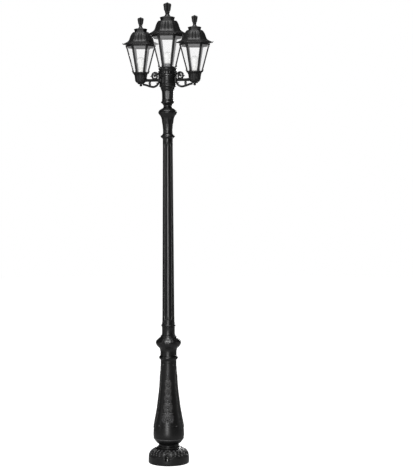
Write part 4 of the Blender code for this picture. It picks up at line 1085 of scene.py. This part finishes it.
def arm_forging(side):
    """Bar, scroll, lower bracket and seat of one arm, with bolts through its back plate."""
    node = f"arm_{side}"
    turn = Matrix.Rotation(ARM_TURN[side], 4, "Z")
    reach = Vector(centre_of(f"cap_nut_{side}")[:2]).length
    bar_z = 2.6645
    hub_u = 0.0946
    hub_z = 2.694
    plate = mm(0, 0, (58.5, 2641), (65.5, 2642.5), (65.5, 2726.5), (58.5, 2728))
    mesh = prism_mesh("plate", [(x, -0.012, z) for x, z in plate], [(x, 0.012, z) for x, z in plate])
    parts = [softened(mesh, 0.0012)]
    parts.append(bar_mesh("bar", [(0.062, 0, bar_z), (reach - 0.0365, 0, bar_z)], 0.0098, 20))
    for spot in (0.0725, reach - 0.049):
        parts.append(bar_mesh("bead", [(spot - 0.0035, 0, bar_z), (spot - 0.0018, 0, bar_z),
                                       (spot + 0.0018, 0, bar_z), (spot + 0.0035, 0, bar_z)],
                              [0.0098, 0.0116, 0.0116, 0.0098], 20))
    outer = spiral(hub_u, hub_z, 0.0230, 0.0205, 165, -95, 34)
    inner = spiral(hub_u, hub_z, 0.0205, 0.0055, -95, -310, 24)
    path = outer + inner[1:]
    radii = [0.0072] * len(outer) + [0.0070 - 0.0022 * step / 23 for step in range(24)]
    parts.append(bar_mesh("scroll", path, radii, 18, 1.10))
    parts.append(ball_mesh("eye", (hub_u + 0.0025, 0, hub_z + 0.0005), 0.0090))
    bracket = smooth([(0.0660, 0, 2.6500), (0.0800, 0, 2.6300), (0.1050, 0, 2.6189), (0.1346, 0, 2.6235),
                      (0.1600, 0, 2.6318), (0.1850, 0, 2.6375)], 9)
    parts.append(bar_mesh("bracket", bracket, 0.0073, 18, 1.10))
    parts.append(bar_mesh("link", [(0.1346, 0, 2.6235), (0.1346, 0, bar_z)], 0.0078, 18))
    parts.append(ball_mesh("link_bead", (0.1346, 0, 2.6440), 0.0098, 0.45))
    barb = smooth([(0.1140, 0, 2.6925), (0.1220, 0, 2.6940), (0.1275, 0, 2.6925), (0.1310, 0, 2.6890)], 4)
    parts.append(bar_mesh("barb", barb, list(np.linspace(0.0040, 0.0016, len(barb))), 12))
    leafy = smooth([(0.0690, 0, 2.6500), (0.0770, 0, 2.6440), (0.0840, 0, 2.6450), (0.0880, 0, 2.6500)], 4)
    parts.append(bar_mesh("leaf", leafy, list(np.linspace(0.0040, 0.0016, len(leafy))), 12))
    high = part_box(f"cap_nut_{side}")[1]
    seat_low = high.z - 0.0045
    seat = mm(0, seat_low, (7.8, 0), (21.8, 0), (23, 1.2), (23, 4), (21.8, 5.2), (7.8, 5.2))
    parts.append(moved(turned_mesh("seat", seat, SMALL, hollow=True), Matrix.Translation((reach, 0, 0))))
    piece(moved(merged(f"arm_forging_{side}", parts), turn), CAST, "post", [node])
    heads = []
    for z in (2.6555, 2.7150):
        place = Matrix.Translation((0.0653, 0, z)) @ Matrix.Rotation(radians(90), 4, "Y")
        head = nut_mesh("head", 0.0020, 0.0050, 0.0, 0.0036)
        heads.append(moved(head, turn @ place))
        heads.append(moved(turned_mesh("cap", mm(0, 0, (0, 0.5), (3.2, 0.5), (3.2, 4.4), (0, 5)), 20),
                           turn @ place))
    piece(merged(f"arm_bolts_{side}", heads), LANTERN_PAINTED_SHADE, "post")


def cap_nut(side):
    """Acorn nut with a collar under a side lantern."""
    node = f"cap_nut_{side}"
    low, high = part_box(node)
    spot = centre_of(node)
    outline = smooth(mm(0, low.z, (0, 0), (5.2, 0.8), (9, 4), (9.4, 8), (8.2, 11), (7.8, 13)), 5)
    outline += [(0.0105, low.z + 0.0142), (0.0110, low.z + 0.0150), (0.0110, high.z - 0.0050)]
    outline += mm(0, high.z, (6.6, -4.8), (6.6, 0), (0, 0))
    mesh = moved(turned_mesh(f"acorn_nut_{side}", outline, SMALL), Matrix.Translation((spot.x, spot.y, 0)))
    piece(mesh, LANTERN_PAINTED_SHADE, "post", [node])


# ---- lanterns -----------------------------------------------------------------------

class Lantern:
    """Places and proportions of one lantern, read from its nodes."""

    def __init__(self, name):
        self.name = name
        low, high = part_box(name + "_finial")
        self.spot = Vector(((low.x + high.x) / 2, (low.y + high.y) / 2, 0))
        self.finial_tall = (high.z - low.z) / FINIAL_RISE
        self.hinged = name == "centre"
        self.tall = CENTRE_TALLER if self.hinged else 1.0
        self.bell_rise = CENTRE_BELL_RISE if self.hinged else SIDE_BELL_RISE
        self.bell_top_r = CENTRE_BELL_TOP_R if self.hinged else SIDE_BELL_TOP_R
        low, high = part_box(name + "_roof")
        self.wide = (high.x - low.x) / 2 / SIDE_BRIM_R
        self.brim = high.z - self.bell_rise * self.tall
        self.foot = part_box(name + "_cage")[0].z
        self.top = self.foot + SIDE_CAGE_RISE * self.tall
        self.low_r = SIDE_LOW_R * self.wide
        self.high_r = SIDE_HIGH_R * self.wide
        self.roof_body = "centre_roof" if self.hinged else "post"
        self.pin = Vector(JOINT["centre_roof_hinge"]["pos_m"]) if self.hinged else None

    def place(self):
        return Matrix.Translation(self.spot)

    def rise(self, height):
        return self.brim + height * self.tall

    def corner(self, step, radius, height):
        angle = step * pi / 3
        return Vector((radius * cos(angle), radius * sin(angle), height))

    def side_r(self, height):
        """Corner radius of the struts' outer face at a height."""
        share = (height - self.foot) / (self.top - self.foot)
        return self.low_r + (self.high_r - self.low_r) * share


def cup_casting(lantern):
    """Turned cup with shallow gadroons; the six ears under the struts are made with the struts."""
    node = f"{lantern.name}_cup"
    low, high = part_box(node)
    z = low.z
    lower = smooth(mm(0, z, (20, 0), (24.5, 1), (32, 5.5), (35, 10)), 6)
    bowl = smooth(mm(0, z, (36.6, 12.5), (37.6, 18), (39.2, 36), (41.2, 48), (44.5, 55.5)), 8)
    rim = arc(0.0462, z + 0.0600, 0.0026, -80, 60, 8) + smooth(mm(0, z, (48, 63.2), (52, 65.5),
                                                                  (56, 67.5)), 4) + [(0.0565, high.z)]
    inner = [(0.0525, high.z), (0.0525, z + 0.068), (0.0435, z + 0.060), (0.0355, z + 0.046)]
    inner += mm(0, z, (33.5, 20), (20, 6), (7.5, 5), (7.5, 0))
    leaves = tongues(8, z + 0.0110, z + 0.0560, 0.0026, radians(-90), 0.5)

    def reach(radius, height, angle):
        return radius if radius < 0.0363 else leaves(radius, height, angle)
    mesh = turned_mesh(f"{lantern.name}_cup_casting", lower + bowl + rim + inner, FINE * 2, reach,
                       hollow=True)
    piece(moved(mesh, lantern.place()), LANTERN_PAINTED_SHADE, "post", [node], angle=50)


def strut_meshes(lantern):
    """Moulded corner bars: a flat bar with a raised half-round bead down its outer face."""
    parts = []
    half = STRUT_WIDE / 2 * lantern.wide
    for step in range(6):
        out = lantern.corner(step, 1, 0)
        across = Vector((-out.y, out.x, 0))
        ends = []
        for radius, height in ((lantern.low_r, lantern.foot + 0.001),
                               (lantern.high_r, lantern.top - 0.001)):
            base = out * radius + Vector((0, 0, height))
            section = [(-half, -STRUT_DEEP), (half, -STRUT_DEEP), (half, -0.0018), (0.62 * half, -0.0006)]
            section += [(0.34 * half, 0.0006), (0.0, 0.0011), (-0.34 * half, 0.0006)]
            section += [(-0.62 * half, -0.0006), (-half, -0.0018)]
            ends.append([base + across * x + out * y for x, y in section])
        parts.append(prism_mesh("strut", ends[0], ends[1]))
        parts.append(ear_mesh(lantern, out, across))
        parts.append(shoulder_mesh(lantern, out, across))
    return parts


def ear_mesh(lantern, out, across):
    """Small curled ear outside a strut's foot."""
    foot = lantern.foot
    near = lantern.low_r - 0.002
    spots = smooth(mm(near, foot, (-1, 3), (6, 3.5), (9.8, 8.5), (7.8, 15), (3, 19), (-0.5, 19.5)), 4)
    outer = [out * r + Vector((0, 0, z)) for r, z in spots]
    low = [point - across * 0.0050 for point in outer]
    high = [point + across * 0.0050 for point in outer]
    return softened(prism_mesh("ear", low, high), 0.0012, 3)


def shoulder_mesh(lantern, out, across):
    """Little cast block where a strut meets the upper ring."""
    top = lantern.top
    r = lantern.side_r(top - 0.016)
    loop = [(r - 0.004, top - 0.022), (r + 0.0020, top - 0.018), (lantern.high_r + 0.0022, top - 0.004),
            (lantern.high_r + 0.0022, top + 0.003), (lantern.high_r - 0.006, top + 0.003)]
    half = STRUT_WIDE * 0.60 * lantern.wide
    low = [out * x + Vector((0, 0, z)) - across * half for x, z in loop]
    high = [out * x + Vector((0, 0, z)) + across * half for x, z in loop]
    return softened(prism_mesh("shoulder", low, high), 0.0008)


def painted_shade_skirt(lantern):
    """Dark skirt just inside the panes' top edge: a dark sheet that stands for the shade under the roof, as
    painted shade.
    """
    drop = PAINTED_SHADE_SKIRT_DROP * lantern.tall
    high = lantern.top - 0.0050
    low = lantern.top - drop
    back = STRUT_THICK + 0.0012 + PANE_THICK / cos(pi / 6) + 0.0008
    high_r = lantern.side_r(high) - back
    low_r = lantern.side_r(low) - back
    loop = [(low_r - 0.0016, low), (low_r, low), (high_r, high), (high_r - 0.0016, high)]
    return turned_mesh("collar", loop, 6, hollow=True)


def cage_frame(lantern):
    """Rings, corner bars and hinge lugs of the lantern's cage."""
    foot = lantern.foot
    top = lantern.top
    low_r = lantern.low_r
    high_r = lantern.high_r
    low_ring = mm(low_r, foot, (-8, 0), (2.2, 0), (3, 1), (3, 3.8), (1.5, 5), (-8, 5))
    ring = mm(high_r, top, (-8, -6), (-1, -6), (0, -5))
    ring += mm(high_r, top, (0, -1), (-1.2, 0), (0, 1.2), (0, 4))
    ring += [(high_r - 0.008, top + 0.0040)]
    parts = strut_meshes(lantern)
    parts.append(turned_mesh("low_ring", low_ring, 6, hollow=True))
    parts.append(turned_mesh("high_ring", ring, 6, hollow=True))
    # dark skirt: painted shade under the roof
    parts.append(painted_shade_skirt(lantern))
    outer = 0.866 * high_r
    turn = Matrix.Rotation(HINGE_TURN, 4, "Z")
    reach = (lantern.pin - lantern.spot).xy.length if lantern.hinged else 0.0
    for low_y, high_y in ((-0.0205, -0.0105), (0.0105, 0.0205)) if lantern.hinged else ():
        nose = arc(reach, lantern.pin.z, 0.0042, -90, 90, 10)
        loop = [(outer - 0.004, lantern.pin.z - 0.0042)] + nose + [(outer - 0.004, lantern.pin.z + 0.0042)]
        lug = prism_mesh("lug", [(x, low_y, z) for x, z in loop], [(x, high_y, z) for x, z in loop])
        parts.append(moved(softened(lug, 0.0006), turn))
    mesh = moved(merged(f"{lantern.name}_cage_frame", parts), lantern.place())
    piece(mesh, LANTERN_PAINTED_SHADE, "post", [f"{lantern.name}_cage"], angle=32)


def panes(lantern):
    """Six separate panes, each a flat sheet."""
    low = lantern.foot + 0.0055
    high = lantern.top - 0.0065
    sheets = []
    for step in range(6):
        corners = []
        for height in (low, high):
            outer = lantern.side_r(height) - STRUT_THICK - 0.0012
            one = lantern.corner(step, outer, height)
            two = lantern.corner(step + 1, outer, height)
            inset = (two - one).normalized() * 0.0012
            corners.append((one + inset, two - inset))
        face = [corners[0][0], corners[0][1], corners[1][1], corners[1][0]]
        normal = (face[1] - face[0]).cross(face[3] - face[0]).normalized()
        back = [point - normal * PANE_THICK for point in face]
        sheets.append(prism_mesh("pane", face, back))
    mesh = moved(merged(f"{lantern.name}_panes", sheets), lantern.place())
    piece(mesh, PANE, "post", [f"{lantern.name}_diffuser"], flat=True)


def lamp_set(lantern):
    """Enamelled plate with a rolled edge, ribbed lamp holder and opal lamp."""
    name = lantern.name
    place = lantern.place()
    low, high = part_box(f"{name}_lamp_plate")
    edge = min(high.x - low.x, high.y - low.y) / 2
    plate = [(0, low.z), (edge - 0.0008, low.z), (edge, low.z + 0.0008), (edge, low.z + 0.0014)]
    plate += [(edge - 0.0012, low.z + 0.0022), (edge - 0.0060, low.z + 0.0020), (0.0210, low.z + 0.0020)]
    plate += [(0.0180, low.z + 0.0033), (0, high.z)]
    piece(moved(turned_mesh(f"{name}_gear_plate", plate, 64), place), ENAMEL, "post",
          [f"{name}_lamp_plate"])
    low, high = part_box(f"{name}_lamp_holder")
    z = low.z
    holder = mm(0, z, (0, 0), (15.5, 0), (16.5, 1), (17.5, 4), (17.5, 15))
    holder += [(0.0168, z + 0.0165), (0.0155, z + 0.0180)]
    for step in range(4):
        rib = z + 0.0195 + 0.0036 * step
        holder += mm(0, rib, (15, 0), (15.5, 1), (15.5, 2), (15, 3))
    holder += [(0.0150, high.z - 0.0010), (0.0145, high.z), (0.0138, high.z - 0.0010),
               (0.0138, z + 0.0140), (0, z + 0.0130)]
    # the holder's glow is painted light
    piece(moved(turned_mesh(f"{name}_socket", holder, SMALL), place), PORCELAIN_PAINTED_GLOW, "post",
          [f"{name}_lamp_holder"])
    low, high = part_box(f"{name}_lamp")
    z = low.z
    bulb = mm(0, z, (0, 0), (12, 0), (12.6, 2), (12.6, 22))
    bulb += smooth(mm(0, z, (13.5, 25), (17, 37), (22.5, 48), (25.8, 60), (25, 72), (20, 82), (11, 88)), 5)
    piece(moved(turned_mesh(f"{name}_bulb", bulb + [(0, high.z)], SMALL), place), OPAL, "post",
          [f"{name}_lamp"])


def gear_dome(lantern):
    """Grey dome over the centre lantern's lamp gear."""
    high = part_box(f"{lantern.name}_lamp_plate")[1]
    z = high.z + 0.0004
    shape = [(0.0370, z)] + smooth(mm(0, z, (36.6, 4), (34, 12), (29, 18.5), (23, 22.5), (19.5, 23.5)), 5)
    shape += mm(0, z, (18.4, 23), (18.4, 21.5), (28, 16.5), (35.2, 3), (35.5, 0))
    mesh = turned_mesh(f"{lantern.name}_gear_dome", shape, SMALL, hollow=True)
    piece(moved(mesh, lantern.place()), DARK_STEEL, "post")


def bell_profile(lantern):
    """Outer corner profile of the roof above its brim: (radius, height)."""
    brim = mm(0, 0, (123.6, 0), (124, 0.4), (124, 2.4), (123.2, 3.2))
    bell = smooth([(0.1225, 0.0035), (0.1120, 0.0085), (0.0980, 0.0150), (0.0880, 0.0215), (0.0805, 0.0300),
                   (0.0755, 0.0430), (0.0705, 0.0570), (0.0640, 0.0700),
                   (lantern.bell_top_r + 0.0070, lantern.bell_rise - 0.0060),
                   (lantern.bell_top_r, lantern.bell_rise)], 5)
    return [(r * lantern.wide, lantern.rise(z)) for r, z in brim + bell]


def roof_bell(lantern):
    """Hexagonal bell roof with a rib up each corner, a lobe on each face and beads over the brim."""
    name = lantern.name
    outer = bell_profile(lantern)
    wall = 0.0032
    inner = [(radius - wall, height - wall * 0.7) for radius, height in outer[-2:18:-3]]
    inner = [(0.0, outer[-1][1] - wall)] + inner
    inner += [(lantern.high_r - 0.014, lantern.brim + 0.0030), (lantern.high_r - 0.012, lantern.brim)]
    steps = 6 * 30
    low_lobe = lantern.rise(0.018)
    high_lobe = lantern.rise(0.0845)

    def reach(radius, height, angle):
        turn = (angle % (pi / 3)) - pi / 6
        flat = radius * cos(pi / 6) / cos(turn)
        if radius < lantern.high_r * 0.38 or not low_lobe < height < high_lobe:
            return flat
        share = (height - low_lobe) / (high_lobe - low_lobe)
        across = turn / (pi / 6)
        fade = min(1.0, share * 7, (1 - share) * 5)
        lobes = 0.0
        for middle in (-0.58, 0.0, 0.58):
            lobes = max(lobes, sqrt(max(0.0, 1 - ((across - middle) / 0.27) ** 2)))
        return flat + 0.0036 * lobes * fade
    outline = [(0.0, outer[-1][1])] + outer[::-1] + inner[::-1]
    shell = turned_mesh("bell", outline, steps, reach)
    parts = [shell]
    for step in range(6):
        ridge = [lantern.corner(step, radius - 0.0002, height) for radius, height in outer[4::3]]
        size = [0.0030] + [0.0026] * (len(ridge) - 2) + [0.0020]
        parts.append(ridge_mesh(ridge, size))
        parts.append(curl_mesh(lantern, step))
    parts += bead_row(lantern)
    if lantern.hinged:
        parts.append(roof_lug(lantern))
    mesh = moved(merged(f"{name}_bell", parts), lantern.place())
    piece(mesh, LANTERN_PAINTED_SHADE, lantern.roof_body, [f"{name}_roof"], angle=34)


def roof_lug(lantern):
    """Lug that hangs from the roof onto the hinge pin."""
    nose = arc(0.0, 0.0, 0.0042, 180, 360, 10)
    reach_out = (lantern.pin - lantern.spot).xy.length
    top = lantern.brim + 0.0015
    loop = [(reach_out + x, lantern.pin.z + z) for x, z in nose]
    loop += [(reach_out + 0.0042, top), (reach_out - 0.0042, top)]
    lug = prism_mesh("roof_lug", [(x, -0.0098, z) for x, z in loop], [(x, 0.0098, z) for x, z in loop])
    return moved(softened(lug, 0.0006), Matrix.Rotation(HINGE_TURN, 4, "Z"))


def ridge_mesh(path, radii, sides=10):
    """A round rib along a path that leans in one vertical plane."""
    points = []
    flat_out = Vector((path[0].x, path[0].y, 0)).normalized()
    across = Vector((-flat_out.y, flat_out.x, 0))
    for index, spot in enumerate(path):
        along = (path[min(index + 1, len(path) - 1)] - path[max(index - 1, 0)]).normalized()
        out = across.cross(along).normalized()
        for side in range(sides):
            angle = tau * side / sides
            points.append(spot + (across * cos(angle) + out * sin(angle)) * radii[index])
    faces = []
    for index in range(len(path) - 1):
        for side in range(sides):
            after = (side + 1) % sides
            near = index * sides
            faces.append((near + side, near + after, near + sides + after, near + sides + side))
    faces += [tuple(range(sides)), tuple(range(len(points) - sides, len(points)))]
    return mesh_of("ridge", points, faces)


def curl_mesh(lantern, step):
    """Upturned tip at a corner of the brim."""
    wide = lantern.wide
    spots = smooth(mm(0, 0, (114, 6), (119.5, 4.5), (124, 5), (126.2, 8.5), (124.5, 11.5)), 4)
    path = [lantern.corner(step, r * wide, lantern.brim + z) for r, z in spots]
    return ridge_mesh(path, list(np.linspace(0.0034, 0.0016, len(path))))


def bead_row(lantern):
    """Egg-shaped beads along the foot of each roof face."""
    beads = []
    radius = 0.1030 * lantern.wide
    height = lantern.rise(0.0125)
    for step in range(6):
        one = lantern.corner(step, radius, height)
        two = lantern.corner(step + 1, radius, height)
        for share in (0.18, 0.34, 0.50, 0.66, 0.82):
            spot = one.lerp(two, share)
            beads.append(ball_mesh("egg", spot, 0.0046 * lantern.wide, 0.75, 12))
    return beads


def crown_cap(lantern):
    """Flared cap plate with six raised points and a bevelled upper face."""
    name = lantern.name
    low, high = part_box(f"{name}_crown")
    tall = high.z - low.z
    wide = lantern.wide ** 1.4
    shape = smooth(mm(0, 0, (43, 0), (42.6, 3), (43, 8.5), (44.3, 12.5), (45.8, 16)), 4)
    shape += mm(0, 0, (46.2, 16.8), (46.2, 20), (45.5, 20.8), (40.5, 21.5), (36, 23.5))
    outline = [(radius * wide, low.z + height / 0.0235 * tall) for radius, height in shape]

    def reach(radius, height, angle):
        turn = (angle % (pi / 3)) - pi / 6
        sharp = cos(pi / 6) / cos(turn)
        return radius * (0.72 * sharp + 0.28)
    mesh = turned_mesh(f"{name}_crown_cap", [(0, low.z)] + outline + [(0, high.z)], 72, reach)
    piece(moved(mesh, lantern.place()), LANTERN_PAINTED_SHADE, lantern.roof_body,
          [f"{name}_crown"], angle=36)


def torch_finial(lantern):
    """Eight-sided torch on a moulded foot."""
    name = lantern.name
    low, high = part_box(f"{name}_finial")
    tall = lantern.finial_tall
    wide = 1.0 + 3.2 * (lantern.wide - 1.0)
    foot = mm(0, 0, (18, 0), (18, 1.2), (17, 2.6))
    foot += smooth(mm(0, 0, (15.5, 5), (12.5, 9), (11, 13.5), (10.7, 17)), 5)
    ring = arc(0.0112, 0.0215, 0.0022, -70, 70, 6)
    torch = smooth(mm(0, 0, (12.2, 25), (16, 33.5), (17.6, 40), (18.4, 48), (19.8, 57.5), (20.9, 63.5)), 5)
    top = smooth(mm(0, 0, (20.6, 65.5), (19.2, 69), (15, 72), (10, 73.8), (6, 74.5)), 4)
    top += smooth(mm(0, 0, (5.6, 75.5), (5, 76.8), (2.8, 77.7)), 3)
    outline = [(r * wide, low.z + z * tall) for r, z in foot + ring + torch + top]
    start = low.z + 0.0265 * tall
    end = low.z + 0.0720 * tall

    def reach(radius, height, angle):
        if not start < height < end:
            return radius
        turn = (angle % (pi / 4)) - pi / 8
        sharp = cos(pi / 8) / cos(turn)
        return radius * (sharp - 0.05 * cos(turn * 8))
    mesh = turned_mesh(f"{name}_torch", [(0, low.z)] + outline + [(0, high.z)], 64, reach)
    piece(moved(mesh, lantern.place()), LANTERN_PAINTED_SHADE, lantern.roof_body,
          [f"{name}_finial"], angle=40)


def build_lantern(name):
    lantern = Lantern(name)
    if name != "centre":
        cup_casting(lantern)
        cap_nut(name)
        arm_forging(name)
    cage_frame(lantern)
    panes(lantern)
    lamp_set(lantern)
    roof_bell(lantern)
    crown_cap(lantern)
    torch_finial(lantern)
    if lantern.hinged:
        repaint(f"{name}_hinge_pin", DARK_STEEL)
        gear_dome(lantern)


# ---- assembly -----------------------------------------------------------------------

def build_post():
    base_casting()
    flange_leaves()
    anchor_bolts()
    column_casting()
    bulb_bead()
    door_cover()
    door_foliage()
    panel_foliage()
    door_screws()
    knop_casting()
    collar_casting()
    shaft_sleeve()
    upper_ring_casting()
    capital_casting()
    neck_casting()
    hub_casting()
    repaint("core_tube", GALVANISED)
    repaint("slot_tube", GALVANISED)
    repaint("foot_tube", GALVANISED)
    repaint("lock_insert", ZINC)
    repaint("earth_screw", BRASS)
    repaint("terminal_block", CREAM)
    repaint("terminal_carrier", CREAM)


# ---- stage, light and camera --------------------------------------------------------

def camera_only(nodes, socket_key, strength):
    """Glow that only the camera sees, so that it lights nothing."""
    seen = nodes.node("LightPath").outputs["Is Camera Ray"]
    glow = nodes.node("Math", {0: seen, 1: strength}, operation="MULTIPLY").outputs[0]
    nodes.feed(socket_key, glow)


def stage():
    """Pale floor under the post."""
    white = Nodes("studio_white")
    tint = white.noise(3.0, 2.0)
    white.feed("Base Color", white.ramp(tint, [(0.3, (0.38, 0.38, 0.38)), (0.7, (0.42, 0.42, 0.42))]))
    white.set(Roughness=0.9)
    white.shader.inputs["Emission Color"].default_value = (1, 1, 1, 1)
    camera_only(white, "Emission Strength", 1.0)
    points = [(14 * cos(step * tau / 64), 14 * sin(step * tau / 64), 0.0) for step in range(64)]
    mesh = bpy.data.meshes.new("studio_floor")
    mesh.from_pydata(points, [], [tuple(range(64))])
    mesh.materials.append(white.made)
    floor = bpy.data.objects.new("studio_floor", mesh)
    bpy.context.scene.collection.objects.link(floor)


def area_light(name, place, target, size, power):
    data = bpy.data.lights.new(name, "AREA")
    data.shape = "RECTANGLE"
    data.size, data.size_y = size
    data.energy = power
    made = bpy.data.objects.new(name, data)
    made.location = place
    made.rotation_euler = (Vector(target) - Vector(place)).to_track_quat("-Z", "Y").to_euler()
    made.visible_camera = False
    bpy.context.scene.collection.objects.link(made)


def studio():
    world = bpy.data.worlds.new("studio")
    bpy.context.scene.world = world
    world.use_nodes = True
    tree = world.node_tree
    seen = tree.nodes.new("ShaderNodeLightPath").outputs["Is Camera Ray"]
    level = tree.nodes.new("ShaderNodeMapRange")
    level.inputs["To Min"].default_value = WORLD_FILL
    level.inputs["To Max"].default_value = 1.0
    tree.links.new(seen, level.inputs["Value"])
    tree.links.new(level.outputs[0], tree.nodes["Background"].inputs["Strength"])
    tree.nodes["Background"].inputs["Color"].default_value = (1.0, 1.0, 1.0, 1.0)
    area_light("front_soft", (-0.8, -6.0, 2.0), (0.0, 0.0, 1.5), (0.6, 3.4), 165.0)
    area_light("left_soft", (-4.6, -2.0, 2.6), (0.0, 0.0, 1.5), (0.5, 3.0), 25.0)
    area_light("back_soft", (0.9, 6.0, 2.4), (0.0, 0.0, 1.5), (0.6, 3.4), 120.0)
    area_light("right_soft", (5.5, 1.2, 2.4), (0.0, 0.0, 1.5), (0.5, 3.2), 20.0)
    area_light("high_soft", (-0.3, -2.6, 9.5), (0.0, 0.0, 0.6), (2.2, 2.2), 560.0)
    bpy.context.scene.view_settings.view_transform = "Standard"


WORLD_FILL = 0.014
CAMERA_FAR = 9.6
CAMERA_HIGH = 2.20
CAMERA_ROUND = radians(2.8)   # how far round the post to its right the camera stands
FRAME_SIDE = 0.2665           # the frame's middle lies this far to the post's right
AIM_HIGH = 1.594
FRAME_TALL = 3.262            # metres that the frame's height covers at the post
ROLL = radians(-0.10)


def camera():
    data = bpy.data.cameras.new("camera")
    data.sensor_width = 24.0
    made = bpy.data.objects.new("camera", data)
    right = Vector((cos(CAMERA_ROUND), sin(CAMERA_ROUND), 0))
    back = Vector((sin(CAMERA_ROUND), -cos(CAMERA_ROUND), 0))
    place = right * FRAME_SIDE + back * CAMERA_FAR + Vector((0, 0, CAMERA_HIGH))
    target = right * FRAME_SIDE + Vector((0, 0, AIM_HIGH))
    far = (target - place).length
    data.lens = data.sensor_width * far / FRAME_TALL
    made.location = place
    turn = (target - place).to_track_quat("-Z", "Y").to_matrix() @ Matrix.Rotation(ROLL, 3, "Z")
    made.rotation_euler = turn.to_euler()
    bpy.context.scene.collection.objects.link(made)
    bpy.context.scene.camera = made


build_post()
for lantern_name in ("right", "left", "centre"):
    build_lantern(lantern_name)
stage()
studio()
camera()
